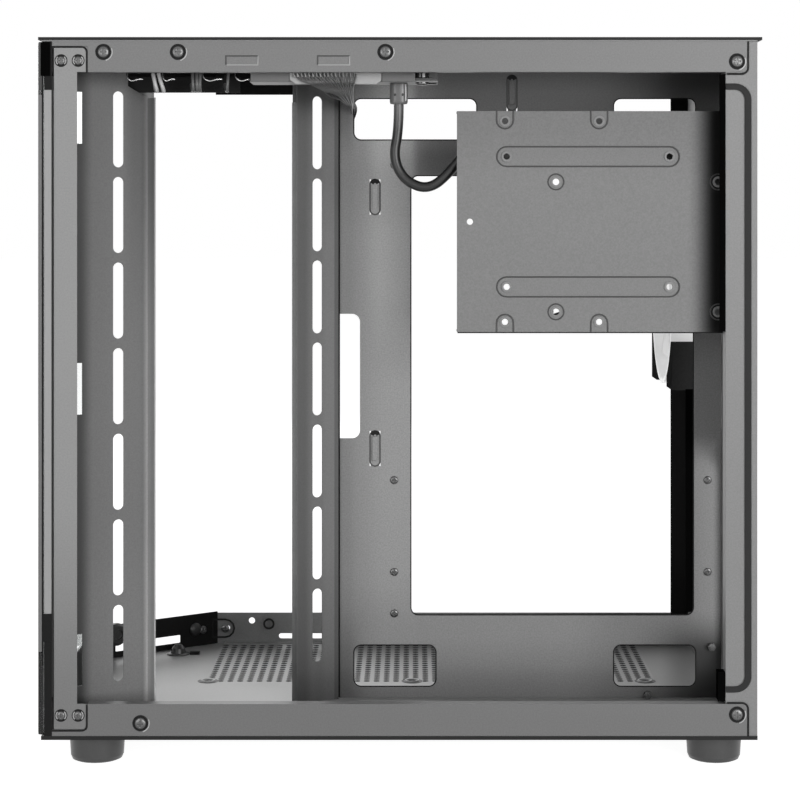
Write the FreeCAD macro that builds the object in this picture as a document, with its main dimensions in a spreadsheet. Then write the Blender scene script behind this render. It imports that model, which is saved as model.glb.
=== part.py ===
import FreeCAD, Part
import math
import os
import Sketcher

# An open dual-chamber computer case. X runs from the front to the rear, Z is up, and the
# cable side, whose side panel is off, faces -Y. The case stands on its feet at Z = 0.

DRIVING_SIZES = [
    # Overall body: reaches are measured from the origin, levels from the ground
    ("case_width", 280.0),
    ("front_reach", 207.6),
    ("rear_reach", 206.6),
    ("floor_low", 17.0),
    ("floor_top", 19.3),
    ("roof_top", 421.6),
    ("steel", 0.8),
    ("cut_through", 3.2),
    ("cover_cut", 6.8),
    ("cover_reach", 209.3),
    ("cover_thick", 1.7),
    ("corner_run", 76.6),
    ("corner_depth", 59.5),
    ("fit_gap", 0.2),
    # Near rails and the front post, all in the plane of the open side
    ("rail_front", 201.2),
    ("rail_rear_gap", 5.4),
    ("rail_tall", 18.5),
    ("rail_lip", 8.0),
    ("rail_emboss_first", 91.5),
    ("rail_emboss_pitch", 53.0),
    ("rail_emboss_long", 18.5),
    ("rail_emboss_tall", 5.2),
    ("rail_emboss_rise", 4.1),
    ("rail_screw_drop", 6.9),
    ("rail_screw_rise", 7.4),
    ("rail_screw_first", 29.7),
    ("rail_screw_second", 72.8),
    ("rail_screw_third", 192.7),
    ("low_screw_place", 51.1),
    ("corner_screw_rise", 12.4),
    ("corner_screw_inset", 11.9),
    ("emboss_depth", 0.3),
    ("post_front", 200.1),
    ("post_wide", 13.3),
    ("post_tab_wide", 19.0),
    ("post_tab_tall", 14.6),
    ("post_lip", 10.0),
    ("post_screw_first", 4.1),
    ("post_screw_second", 14.0),
    ("post_screw_level", 6.6),
    # Rear panel
    ("rear_flange", 18.4),
    ("rear_flange_return", 11.0),
    ("far_flange", 17.8),
    ("rear_rim", 11.2),
    ("rear_recess", 6.0),
    ("bead_wide", 3.3),
    ("bead_setback", 3.5),
    ("bead_low", 44.3),
    ("bead_high", 396.3),
    ("bead_radius", 9.0),
    ("io_window_wide", 44.45),
    ("io_window_tall", 158.75),
    ("io_window_low", 190.0),
    ("board_standoff", 3.0),
    ("fan_size", 120.0),
    ("fan_thick", 25.0),
    ("fan_hole_pitch", 105.0),
    ("fan_hole_bore", 4.4),
    ("fan_inset", 68.5),
    ("fan_centre_high", 267.0),
    ("vent_spoke_inner", 24.0),
    ("vent_spoke_outer", 52.0),
    ("vent_spoke_wide", 6.0),
    ("vent_spoke_count", 16),
    ("slot_count", 7),
    ("slot_pitch", 20.32),
    ("slot_window_tall", 12.7),
    ("slot_window_long", 111.0),
    ("slot_low", 47.8),
    ("slot_cover_tall", 18.4),
    ("slot_ledge_gap", 5.8),
    ("slot_tab_long", 8.6),
    ("slot_slit_wide", 5.0),
    ("supply_long", 150.0),
    ("supply_near_gap", 11.8),
    ("supply_far_gap", 3.2),
    ("supply_low", 34.0),
    ("supply_inset", 4.0),
    ("supply_ear", 18.0),
    ("supply_long_ear", 42.0),
    ("supply_hole_inset", 6.0),
    ("supply_hole_step", 24.0),
    ("supply_hole_drop", 10.0),
    ("supply_hole_bore", 3.9),
    # Motherboard tray
    ("main_chamber", 179.0),
    ("tray_front", 38.2),
    ("window_radius", 5.0),
    ("opening_front", 5.7),
    ("opening_rear_gap", 16.9),
    ("opening_low", 70.5),
    ("opening_high", 345.3),
    ("tray_notch_deep", 12.5),
    ("tray_notch_low", 181.1),
    ("tray_notch_high", 258.7),
    ("cable_window_front", 29.9),
    ("cable_window_long", 52.0),
    ("cable_window_tall", 26.6),
    ("upper_window_long", 77.4),
    ("upper_window_low", 366.8),
    ("lower_window_low", 25.9),
    ("rear_window_setback", 67.5),
    ("tray_screw_near", 10.0),
    ("tray_screw_far", 8.4),
    ("tray_screw_top", 6.2),
    ("tray_screw_upper", 84.5),
    ("tray_screw_middle", 27.3),
    ("tray_screw_lower", 1.4),
    ("tie_slot_wide", 6.0),
    ("tie_slot_long", 22.0),
    ("tie_slot_front", 16.3),
    ("tie_slot_low", 163.7),
    ("tie_slot_step", 156.9),
    ("tie_count", 2),
    ("tie_slit", 0.7),
    ("upper_tie_place", 69.1),
    ("upper_tie_low", 385.0),
    ("upper_tie_long", 20.0),
    # Drive plate
    ("plate_inset", 15.0),
    ("plate_front", 33.1),
    ("plate_low", 252.0),
    ("plate_tall", 129.2),
    ("plate_lip", 18.0),
    ("drive_hole_long", 95.25),
    ("drive_hole_tall", 76.2),
    ("drive_hole_front", 62.2),
    ("drive_hole_low", 278.4),
    ("drive_hole_bore", 3.6),
    ("drive_bead_tall", 11.6),
    ("side_hole_run", 28.6),
    ("side_hole_drop", 14.6),
    ("side_hole_bore", 4.6),
    ("edge_hole_run", 7.6),
    ("edge_hole_level", 316.5),
    ("plate_notch_first", 61.2),
    ("plate_notch_pitch", 55.1),
    ("plate_notch_inset", 5.9),
    # Slotted fan strips
    ("strip_turn", 26.25),
    ("strip_slot_x", 167.4),
    ("strip_inset", 34.0),
    ("strip_gap", 128.9),
    ("strip_front_edge", 28.0),
    ("strip_rear_edge", 19.0),
    ("second_strip_front", 14.0),
    ("second_strip_rear", 14.3),
    ("second_strip_lip", 7.2),
    ("strip_lip", 12.0),
    ("fan_slot_count", 7),
    ("fan_slot_pitch", 50.8),
    ("fan_slot_long", 45.1),
    ("fan_slot_wide", 6.5),
    ("fan_slot_low", 43.9),
    ("strip_cut_wide", 13.0),
    ("strip_cut_low", 390.0),
    ("strip_cut_rise", 7.0),
    ("strip_notch_deep", 5.8),
    ("strip_notch_low", 43.3),
    ("strip_notch_step", 159.6),
    ("strip_notch_tall", 30.4),
    ("strip_notch_count", 3),
    # Far side, corner and front rails
    ("far_rail_inset", 2.6),
    ("far_rail_tall", 21.2),
    ("far_rail_upper_tall", 14.7),
    ("far_rail_lip", 4.0),
    ("corner_rail_tall", 22.4),
    ("corner_slot_long", 51.8),
    ("corner_slot_tall", 5.4),
    ("corner_rail_start", 6.4),
    ("corner_rail_trim", 6.8),
    ("corner_rail_gap", 0.6),
    ("corner_hole_rise", 12.3),
    ("corner_hole_drop", 7.3),
    ("rail_window_run", 45.7),
    ("rail_window_long", 40.0),
    ("rail_window_tall", 3.6),
    ("rail_window_rise", 4.9),
    ("rail_hole_run", 25.0),
    ("rail_hole_rise", 15.7),
    ("rail_hole_bore", 4.4),
    ("front_rail_setback", 205.8),
    ("front_rail_tall", 24.0),
    ("glass_thick", 3.2),
    ("glass_corner", 2.5),
    ("glass_edge_wide", 4.5),
    ("glass_edge_deep", 10.0),
    ("glass_block_tall", 60.1),
    ("glass_block_upper_tall", 28.1),
    ("glass_gap", 0.3),
    # Perforated fields of the floor and the top cover
    ("vent_front", 128.0),
    ("vent_inset", 126.0),
    ("vent_columns", 23),
    ("vent_column_pitch", 12.6),
    ("vent_rows", 3),
    ("vent_row_pitch", 40.0),
    ("vent_hole_wide", 6.6),
    ("vent_hole_long", 34.0),
    ("roof_window_front", 125.0),
    ("roof_window_long", 280.0),
    ("roof_window_wide", 98.0),
    ("roof_slot_long", 80.0),
    ("roof_slot_wide", 4.5),
    ("roof_slot_pitch", 98.0),
    ("roof_slot_first", 108.0),
    ("roof_slot_count", 3),
    ("roof_inset", 74.0),
    ("filter_border", 6.0),
    ("filter_bar", 5.0),
    ("filter_mesh", 0.4),
    # Feet
    ("foot_top", 33.0),
    ("foot_bottom", 31.0),
    ("foot_rim", 3.0),
    ("foot_edge", 0.9),
    ("foot_front", 178.8),
    ("foot_rear", 184.8),
    ("foot_inset", 27.0),
    ("foot_corner_drop", 18.5),
    # Control panel under the roof
    ("shelf_low", 398.2),
    ("shelf_front", 88.0),
    ("shelf_rear", 22.0),
    ("shelf_inset", 15.0),
    ("shelf_deep", 29.8),
    ("bracket_low", 407.0),
    ("bracket_front", 160.0),
    ("bracket_rear", 104.0),
    ("io_inset", 30.0),
    ("board_front", 88.0),
    ("board_thick", 1.6),
    ("power_place", 142.0),
    ("power_bore", 14.0),
    ("reset_place", 120.0),
    ("reset_bore", 7.0),
    ("button_proud", 0.6),
    ("button_travel", 1.5),
    ("button_stem", 3.0),
    ("button_gap", 0.2),
    ("button_collar", 1.2),
    ("switch_tall", 5.0),
    ("switch_wide", 12.0),
    ("usb_first_place", 72.0),
    ("usb_pitch", 26.0),
    ("usb_long", 13.1),
    ("usb_wide", 5.7),
    ("usb_throat_long", 11.4),
    ("usb_throat_wide", 4.4),
    ("usb_throat_deep", 12.0),
    ("type_c_place", 1.0),
    ("type_c_long", 9.0),
    ("type_c_wide", 3.3),
    ("jack_place", 13.0),
    ("jack_bore", 6.0),
    ("jack_throat", 3.6),
    ("socket_slack", 0.2),
    # Cable and wires
    ("cable_size", 5.9),
    ("relief_size", 9.5),
    ("relief_foot", 7.6),
    ("plug_long", 20.0),
    ("plug_tall", 12.0),
    ("plug_wide", 10.0),
    ("wires_size", 6.0),
    ("header_long", 16.0),
    ("header_wide", 9.0),
    # Screws
    ("screw_head", 6.0),
    ("screw_head_tall", 1.6),
    ("screw_bore", 3.2),
    ("screw_shank", 3.0),
    ("screw_long", 4.0),
    ("screw_chamfer", 0.7),
    # Fan
    ("fan_corner", 6.0),
    ("fan_bore", 115.0),
    ("fan_hub", 40.0),
    ("fan_strut", 5.0),
    ("strut_count", 4),
    ("fan_back", 3.0),
    ("fan_shaft", 3.0),
    ("shaft_gap", 0.05),
    ("blade_count", 7),
    ("blade_reach", 56.0),
    ("blade_thick", 1.5),
    ("blade_root_reach", 16.0),
    ("blade_root_camber", 1.6),
    ("blade_tip_camber", 2.7),
    ("blade_root_pitch", 48.0),
    ("blade_tip_pitch", 28.0),
    ("blade_root_chord", 20.0),
    ("blade_tip_chord", 34.0),
    # Corner catches
    ("stud_size", 11.0),
    ("stud_tall", 6.8),
    ("stud_shoulder_size", 8.8),
    ("stud_shoulder_rise", 4.1),
    ("stud_tip_size", 4.4),
    ("stud_front", 153.4),
    ("stud_inset", 43.0),
    ("magnet_size", 16.0),
    ("magnet_thick", 6.0),
    ("magnet_inset", 14.0),
]

QUARTER_TURN = 90
HALF_TURN = 180
FULL_TURN = 360

document = FreeCAD.newDocument("computer_case")
sheet = document.addObject("Spreadsheet::Sheet", "Sizes")
for row, (alias, number) in enumerate(DRIVING_SIZES, start=1):
    sheet.set(f"A{row}", alias)
    sheet.set(f"B{row}", str(number))
    sheet.setAlias(f"B{row}", alias)
document.recompute()


class Length:
    # A length worked out from the sheet, with the expression that binds it there

    def __init__(self, value, text):
        self.value = value
        self.text = text

    def join(self, other, sign, value):
        return Length(value, f"({self.text} {sign} {other.text})")

    def __add__(self, other):
        return self.join(as_length(other), "+", self.value + as_length(other).value)

    def __sub__(self, other):
        return self.join(as_length(other), "-", self.value - as_length(other).value)

    def __mul__(self, other):
        return self.join(as_length(other), "*", self.value * as_length(other).value)

    def __truediv__(self, other):
        return self.join(as_length(other), "/", self.value / as_length(other).value)

    def __neg__(self):
        return Length(-self.value, f"(0 - {self.text})")


def as_length(item):
    if isinstance(item, Length):
        return item
    return Length(item, f"({item})")


class SheetReader:
    def __getattr__(self, alias):
        return Length(float(sheet.get(alias)), f"Sizes.{alias}")


size = SheetReader()
nodes = []


# Sketches and features

def new_body(label):
    body = document.addObject("PartDesign::Body", label)
    body.Label = label
    nodes.append(body)
    return body


def origin_item(body, role):
    return next(item for item in body.Origin.OriginFeatures if item.Role == role)


def new_sketch(body, plane, level, centre=None):
    # The level is the sketch's place along the axis that its plane faces
    sketch = body.newObject("Sketcher::SketchObject", f"{body.Label}_sketch")
    sketch.AttachmentSupport = (origin_item(body, plane), [""])
    sketch.MapMode = "FlatFace"
    offset = -level if plane == "XZ_Plane" else level
    sketch.setExpression("AttachmentOffset.Base.z", offset.text)
    if centre:
        sketch.setExpression("AttachmentOffset.Base.x", centre[0].text)
        sketch.setExpression("AttachmentOffset.Base.y", centre[1].text)
    return sketch


def bind(sketch, kind, place, length):
    row = sketch.addConstraint(Sketcher.Constraint(kind, *place, length.value))
    sketch.setExpression(f"Constraints[{row}]", length.text)


def pin(sketch, edge, end, point):
    bind(sketch, "DistanceX", (-1, 1, edge, end), point[0])
    bind(sketch, "DistanceY", (-1, 1, edge, end), point[1])


def flat(x, y):
    return FreeCAD.Vector(as_length(x).value, as_length(y).value, 0)


def outline(sketch, points):
    # A closed run of straight edges, each corner pinned to its own lengths
    first = sketch.GeometryCount
    count = len(points)
    for index, point in enumerate(points):
        sketch.addGeometry(Part.LineSegment(flat(*point), flat(*points[(index + 1) % count])))
    for index, point in enumerate(points):
        follower = first + (index + 1) % count
        sketch.addConstraint(Sketcher.Constraint("Coincident", first + index, 2, follower, 1))
        pin(sketch, first + index, 1, point)


def rectangle(sketch, left, right, low, high):
    outline(sketch, [(left, low), (right, low), (right, high), (left, high)])


def folded(sketch, path, thickness):
    # The section of a sheet folded along a path of square turns, thickened to its left
    directions = []
    for start, end in zip(path, path[1:]):
        run = flat(*end) - flat(*start)
        directions.append((round(run.x / run.Length), round(run.y / run.Length)))
    inner = []
    for index, (x, y) in enumerate(path):
        near = {directions[max(index - 1, 0)], directions[min(index, len(directions) - 1)]}
        for across, along in near:
            x = x - thickness * along
            y = y + thickness * across
        inner.append((x, y))
    outline(sketch, list(path) + inner[::-1])


def arc(centre, radius, start, end):
    circle = Part.Circle(centre, FreeCAD.Vector(0, 0, 1), radius)
    return Part.ArcOfCircle(circle, math.radians(start), math.radians(end))


def window(sketch, left, right, low, high, radius):
    # A rectangle with rounded corners
    first = sketch.GeometryCount
    corners = [(right - radius, low + radius), (right - radius, high - radius),
               (left + radius, high - radius), (left + radius, low + radius)]
    starts = [flat(left + radius, low), flat(right, low + radius),
              flat(right - radius, high), flat(left, high - radius)]
    ends = [flat(right - radius, low), flat(right, high - radius),
            flat(left + radius, high), flat(left, low + radius)]
    for index in range(4):
        sketch.addGeometry(Part.LineSegment(starts[index], ends[index]))
        turn = (index - 1) * QUARTER_TURN
        sketch.addGeometry(arc(flat(*corners[index]), radius.value, turn, turn + QUARTER_TURN))
    for index in range(4):
        line = first + 2 * index
        following = first + (2 * index + 2) % 8
        sketch.addConstraint(Sketcher.Constraint("Tangent", line, 2, line + 1, 1))
        sketch.addConstraint(Sketcher.Constraint("Tangent", line + 1, 2, following, 1))
        sketch.addConstraint(Sketcher.Constraint("Vertical" if index % 2 else "Horizontal", line))
        if index:
            sketch.addConstraint(Sketcher.Constraint("Equal", first + 1, line + 1))
    bind(sketch, "Radius", (first + 1,), radius)
    bind(sketch, "DistanceY", (-1, 1, first, 1), low)
    bind(sketch, "DistanceX", (-1, 1, first + 2, 1), right)
    bind(sketch, "DistanceY", (-1, 1, first + 4, 1), high)
    bind(sketch, "DistanceX", (-1, 1, first + 6, 1), left)


def slot(sketch, start, end, radius):
    # A round-ended slot between the centres of its two ends
    first = sketch.GeometryCount
    low = flat(*start)
    high = flat(*end)
    run = high - low
    turn = math.degrees(math.atan2(run.y, run.x))
    side = FreeCAD.Vector(-run.y, run.x, 0).normalize() * radius.value
    sketch.addGeometry(arc(high, radius.value, turn - QUARTER_TURN, turn + QUARTER_TURN))
    sketch.addGeometry(Part.LineSegment(high + side, low + side))
    back = turn + HALF_TURN
    sketch.addGeometry(arc(low, radius.value, back - QUARTER_TURN, back + QUARTER_TURN))
    sketch.addGeometry(Part.LineSegment(low - side, high - side))
    for index in range(4):
        follower = first + (index + 1) % 4
        sketch.addConstraint(Sketcher.Constraint("Tangent", first + index, 2, follower, 1))
    sketch.addConstraint(Sketcher.Constraint("Equal", first, first + 2))
    bind(sketch, "Radius", (first,), radius)
    pin(sketch, first, 3, end)
    pin(sketch, first + 2, 3, start)


def hole(sketch, x, y, diameter):
    circle = Part.Circle(flat(x, y), FreeCAD.Vector(0, 0, 1), diameter.value / 2)
    edge = sketch.addGeometry(circle)
    bind(sketch, "Diameter", (edge,), diameter)
    pin(sketch, edge, 3, (x, y))


def pad(body, sketch, length, backward=False):
    feature = body.newObject("PartDesign::Pad", f"{body.Label}_pad")
    feature.Profile = sketch
    feature.Reversed = backward
    feature.setExpression("Length", length.text)
    body.Tip = feature
    return feature


def cut(body, sketch, depth):
    # A pocket that reaches half its depth to each side of its sketch
    feature = body.newObject("PartDesign::Pocket", f"{body.Label}_pocket")
    feature.Profile = sketch
    feature.Midplane = True
    feature.setExpression("Length", depth.text)
    body.Tip = feature
    return feature


def repeat(body, feature, role, pitch, count):
    pattern = body.newObject("PartDesign::LinearPattern", f"{body.Label}_pattern")
    pattern.Originals = [feature]
    pattern.Direction = (origin_item(body, role), [""])
    pattern.setExpression("Length", (pitch * (count - 1)).text)
    pattern.setExpression("Occurrences", count.text)
    body.Tip = pattern
    return pattern


def repeat_grid(body, feature, columns, rows):
    pattern = repeat(body, feature, "X_Axis", *columns)
    pattern.Direction2 = (origin_item(body, "Y_Axis"), [""])
    pattern.setExpression("Length2", (rows[0] * (rows[1] - 1)).text)
    pattern.setExpression("Occurrences2", rows[1].text)


def repeat_round(body, feature, sketch, count):
    pattern = body.newObject("PartDesign::PolarPattern", f"{body.Label}_pattern")
    pattern.Originals = [feature]
    pattern.Axis = (sketch, ["N_Axis"])
    pattern.Angle = FULL_TURN
    pattern.setExpression("Occurrences", count.text)
    body.Tip = pattern


def place(item, x, y, z, turn=None):
    if turn is not None:
        item.Placement = FreeCAD.Placement(FreeCAD.Vector(), FreeCAD.Vector(0, 0, 1), turn.value)
        item.setExpression("Placement.Rotation.Angle", turn.text)
    for axis, length in zip("xyz", (x, y, z)):
        item.setExpression(f"Placement.Base.{axis}", as_length(length).text)


def new_feature(label, shape):
    item = document.addObject("Part::Feature", label)
    item.Label = label
    item.Shape = shape
    nodes.append(item)
    return item


# Levels and planes that several pieces share

zero = as_length(0)
through = size.cut_through
half_width = size.case_width / 2
near_face = -half_width
roof_low = size.roof_top - size.steel
body_tall = roof_low - size.floor_top
corner_front = half_width - size.corner_depth
corner_far = size.corner_run - size.front_reach
rail_top = size.floor_top + size.rail_tall
rail_underside = size.roof_top - size.rail_tall
rear_outer = size.rear_reach - size.rear_recess
rear_inner = rear_outer - size.steel
flange_face = near_face + size.steel
tray_rear = rear_inner - size.fit_gap
cover_top = size.roof_top + size.cover_thick
shelf_top = size.shelf_low + size.steel
board_top = shelf_top + size.board_thick
io_across = near_face + size.io_inset
tray_level = half_width - size.main_chamber
plate_level = near_face + size.plate_inset
shelf_near = near_face + size.shelf_inset
shelf_far = shelf_near + size.shelf_deep
bracket_top = size.bracket_low + size.steel
far_rail_face = half_width - size.far_rail_inset
fan_centre = half_width - size.fan_inset
roof_centre = half_width - size.roof_inset
vent_near = half_width - size.vent_inset
opening_rear = tray_rear - size.opening_rear_gap
rear_window_front = tray_rear - size.rear_window_setback


def case_outline(sketch, front, rear, inset):
    # The plan of the case, with its cut-off front corner on the far side
    slant = inset * 0.5
    outline(sketch, [(inset - front, near_face + inset), (rear - inset, near_face + inset),
                     (rear - inset, half_width - inset), (corner_far + slant, half_width - inset),
                     (inset - front, corner_front - slant)])


def vent_field(body, level):
    sketch = new_sketch(body, "XY_Plane", level)
    rectangle(sketch, -size.vent_front, size.vent_hole_wide - size.vent_front,
              vent_near, vent_near + size.vent_hole_long)
    feature = cut(body, sketch, size.cover_cut)
    repeat_grid(body, feature, (size.vent_column_pitch, size.vent_columns),
                (size.vent_row_pitch, size.vent_rows))


def control_holes(body, level):
    # The buttons and sockets come up through both the roof and its cover
    sketch = new_sketch(body, "XY_Plane", level)
    hole(sketch, -size.power_place, io_across, size.power_bore)
    hole(sketch, -size.reset_place, io_across, size.reset_bore)
    hole(sketch, size.jack_place, io_across, size.jack_bore + size.socket_slack * 2)
    places = [(-size.usb_first_place, size.usb_long, size.usb_wide),
              (size.usb_pitch - size.usb_first_place, size.usb_long, size.usb_wide),
              (-size.type_c_place, size.type_c_long, size.type_c_wide)]
    for middle, long, wide in places:
        reach = long / 2 + size.socket_slack
        breadth = wide / 2 + size.socket_slack
        rectangle(sketch, middle - reach, middle + reach, io_across - breadth, io_across + breadth)
    cut(body, sketch, size.cover_cut)


# Floor, roof and top cover

def floor_panel():
    body = new_body("floor_panel")
    sketch = new_sketch(body, "XY_Plane", size.floor_low)
    case_outline(sketch, size.front_reach, size.rear_reach, zero)
    pad(body, sketch, size.floor_top - size.floor_low)
    hollow = new_sketch(body, "XY_Plane", size.floor_low)
    case_outline(hollow, size.front_reach, size.rear_reach, size.steel)
    cut(body, hollow, (size.floor_top - size.floor_low - size.steel) * 2)
    vent_field(body, size.floor_top)


def roof_panel():
    body = new_body("roof_panel")
    sketch = new_sketch(body, "XY_Plane", roof_low)
    case_outline(sketch, size.front_reach, size.rear_reach, zero)
    pad(body, sketch, size.steel)
    opening = new_sketch(body, "XY_Plane", roof_low)
    window(opening, -size.roof_window_front, size.roof_window_long - size.roof_window_front,
           roof_centre - size.roof_window_wide / 2, roof_centre + size.roof_window_wide / 2,
           size.window_radius)
    cut(body, opening, through)
    slots = new_sketch(body, "XY_Plane", roof_low)
    for side in (-1, 1):
        across = roof_centre + size.fan_hole_pitch / 2 * side
        slot(slots, (-size.roof_slot_first, across),
             (size.roof_slot_long - size.roof_slot_first, across), size.roof_slot_wide / 2)
    feature = cut(body, slots, through)
    repeat(body, feature, "X_Axis", size.roof_slot_pitch, size.roof_slot_count)
    control_holes(body, roof_low)


def top_cover():
    body = new_body("top_cover")
    sketch = new_sketch(body, "XY_Plane", size.roof_top)
    case_outline(sketch, size.cover_reach, size.cover_reach, zero)
    pad(body, sketch, size.cover_thick)
    hollow = new_sketch(body, "XY_Plane", size.roof_top)
    case_outline(hollow, size.cover_reach, size.cover_reach, size.steel * 2)
    cut(body, hollow, (size.cover_thick - size.steel) * 2)
    vent_field(body, size.roof_top)
    control_holes(body, size.roof_top)


def bottom_dust_filter():
    body = new_body("bottom_dust_filter")
    left = -size.vent_front - size.filter_border
    right = size.vent_column_pitch * size.vent_columns - size.vent_front + size.filter_border
    low = vent_near - size.filter_border
    rows = size.vent_row_pitch * (size.vent_rows - 1) + size.vent_hole_long
    high = vent_near + rows + size.filter_border
    border = size.filter_border
    middle = (left + right) / 2
    sketch = new_sketch(body, "XY_Plane", size.floor_low)
    rectangle(sketch, left, right, low, high)
    pad(body, sketch, size.floor_top - size.floor_low - size.steel)
    panes = new_sketch(body, "XY_Plane", size.floor_low)
    rectangle(panes, left + border, middle - size.filter_bar, low + border, high - border)
    rectangle(panes, middle + size.filter_bar, right - border, low + border, high - border)
    cut(body, panes, (size.floor_top - size.floor_low - size.steel - size.filter_mesh) * 2)


# Rear panel and what it carries

def rear_panel():
    body = new_body("rear_panel")
    section = new_sketch(body, "XY_Plane", size.floor_top)
    rim = half_width - size.rear_rim
    flange = size.rear_reach - size.rear_flange
    # The far edge stops inside the post that closes this corner
    inside = size.rear_reach - size.steel
    folded(section, [(flange, flange_face + size.rear_flange_return), (flange, flange_face),
                     (size.rear_reach, flange_face), (size.rear_reach, -rim), (rear_outer, -rim),
                     (rear_outer, rim), (inside, rim), (inside, half_width - size.steel)], size.steel)
    pad(body, section, body_tall)
    bead = new_sketch(body, "XZ_Plane", flange_face)
    outer = size.rear_reach - size.bead_setback
    beyond = outer - size.rear_flange * 2
    window(bead, beyond - size.bead_wide, outer, size.bead_low, size.bead_high, size.bead_radius)
    window(bead, beyond, outer - size.bead_wide, size.bead_low + size.bead_wide,
           size.bead_high - size.bead_wide, size.bead_radius - size.bead_wide)
    cut(body, bead, size.emboss_depth * 2)
    screws = new_sketch(body, "XZ_Plane", flange_face)
    for x, z in rear_corner_screws():
        hole(screws, x, z, size.screw_bore)
    cut(body, screws, through)
    openings = new_sketch(body, "YZ_Plane", rear_outer)
    board = tray_level + size.board_standoff
    rectangle(openings, board, board + size.io_window_wide,
              size.io_window_low, size.io_window_low + size.io_window_tall)
    slit = slot_ledge() + size.steel - size.fit_gap
    rectangle(openings, slit, slit + size.slot_slit_wide, slot_field_low(), slot_field_high())
    for side in (-1, 1):
        for rise in (-1, 1):
            hole(openings, fan_centre + size.fan_hole_pitch / 2 * side,
                 size.fan_centre_high + size.fan_hole_pitch / 2 * rise, size.fan_hole_bore)
    cut(body, openings, through)
    supply_opening(body)
    first = new_sketch(body, "YZ_Plane", rear_outer)
    rectangle(first, slot_near(), slot_near() + size.slot_window_long,
              size.slot_low, size.slot_low + size.slot_window_tall)
    repeat(body, cut(body, first, through), "Z_Axis", size.slot_pitch, size.slot_count)
    spoke = new_sketch(body, "YZ_Plane", rear_outer, (fan_centre, size.fan_centre_high))
    slot(spoke, (size.vent_spoke_inner, zero), (size.vent_spoke_outer, zero), size.vent_spoke_wide / 2)
    repeat_round(body, cut(body, spoke, through), spoke, size.vent_spoke_count)


def rear_corner_screws():
    x = size.rear_reach - size.corner_screw_inset
    rise = size.corner_screw_rise
    return [(x, size.floor_top + rise), (x, size.roof_top - rise)]


def slot_near():
    return tray_level + size.board_standoff + size.slot_ledge_gap


def slot_ledge():
    return slot_near() + size.slot_window_long + size.slot_ledge_gap


def slot_field_low():
    return size.slot_low - size.slot_ledge_gap


def slot_field_high():
    return size.slot_low + size.slot_pitch * size.slot_count


def supply_opening(body):
    # The power supply stands on edge in the cable chamber, fixed by four uneven screws
    sketch = new_sketch(body, "YZ_Plane", rear_outer)
    near = near_face + size.supply_near_gap
    far = tray_level - size.supply_far_gap
    inset = size.supply_inset
    left = near + inset
    right = far - inset
    low = size.supply_low + inset
    high = size.supply_low + size.supply_long - inset
    ear = size.supply_ear
    outline(sketch, [(left + ear, low), (right - ear, low), (right, low + ear),
                     (right, high - ear), (right - ear, high), (left + ear, high),
                     (left, high - ear), (left, low + size.supply_long_ear)])
    edge = size.supply_hole_inset
    top = size.supply_low + size.supply_long
    hole(sketch, far - edge, size.supply_low + edge, size.supply_hole_bore)
    hole(sketch, far - edge, top - edge, size.supply_hole_bore)
    hole(sketch, near + edge + size.supply_hole_drop, top - edge, size.supply_hole_bore)
    hole(sketch, near + edge, size.supply_low + edge + size.supply_hole_step, size.supply_hole_bore)
    cut(body, sketch, through)


def far_rear_post():
    body = new_body("far_rear_post")
    section = new_sketch(body, "XY_Plane", size.floor_top)
    folded(section, [(size.rear_reach, half_width - size.rear_rim), (size.rear_reach, half_width),
                     (size.rear_reach - size.far_flange, half_width)], size.steel)
    pad(body, section, body_tall)


def slot_shelf():
    body = new_body("slot_shelf")
    section = new_sketch(body, "XY_Plane", slot_field_low())
    ledge = slot_ledge()
    folded(section, [(rear_outer, ledge - size.slot_ledge_gap), (rear_outer, ledge + size.steel),
                     (rear_outer + size.slot_tab_long, ledge + size.steel)][::-1], size.steel)
    pad(body, section, slot_field_high() - slot_field_low())


def slot_cover(index):
    body = new_body(f"slot_cover_{index + 1}")
    section = new_sketch(body, "XY_Plane", zero)
    fold = slot_ledge() + size.steel
    folded(section, [(rear_outer + size.slot_tab_long, fold), (rear_inner - size.steel, fold),
                     (rear_inner - size.steel, slot_near() - size.slot_ledge_gap)][::-1], size.steel)
    pad(body, section, size.slot_cover_tall)
    margin = (size.slot_cover_tall - size.slot_window_tall) / 2
    place(body, zero, zero, size.slot_low - margin + size.slot_pitch * index)


# Rails and the front post in the plane of the open side

def rail_screw_places(high):
    # Screws through the web of one near rail, apart from the rear corner
    if high:
        level = size.roof_top - size.rail_screw_drop
        steps = [size.rail_screw_first, size.rail_screw_second, size.rail_screw_third]
    else:
        level = size.floor_top + size.rail_screw_rise
        steps = [size.low_screw_place]
    return [(step - size.rail_front, level) for step in steps]


def near_rail(label, low, high, notch_low, notch_high, upper):
    body = new_body(label)
    web = new_sketch(body, "XZ_Plane", near_face)
    front = -size.rail_front
    step = size.post_tab_wide + size.fit_gap - size.post_front
    rear = size.rear_reach - size.rail_rear_gap
    points = [(front, low), (rear, low), (rear, high), (front, high)]
    if upper:
        points[0:1] = [(front, notch_high), (step, notch_high), (step, low)]
    else:
        points[3:4] = [(step, high), (step, notch_low), (front, notch_low)]
    outline(web, points)
    pad(body, web, size.steel, backward=True)
    lips = [low, high - size.steel]
    for level in lips:
        lip = new_sketch(body, "XY_Plane", level)
        rectangle(lip, step + size.fit_gap, size.rear_reach - size.rear_flange - size.fit_gap,
                  near_face + size.steel / 2, near_face + size.rail_lip)
        pad(body, lip, size.steel)
    holes = new_sketch(body, "XZ_Plane", near_face)
    for x, z in rail_screw_places(upper):
        hole(holes, x, z, size.screw_bore)
    corner = rear_corner_screws()[1 if upper else 0]
    hole(holes, corner[0], corner[1], size.screw_bore)
    cut(body, holes, through)
    return body


def lower_side_rail():
    notch = rail_top - size.post_tab_tall - size.fit_gap
    near_rail("lower_side_rail", size.floor_top, rail_top, notch, rail_top, upper=False)


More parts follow.
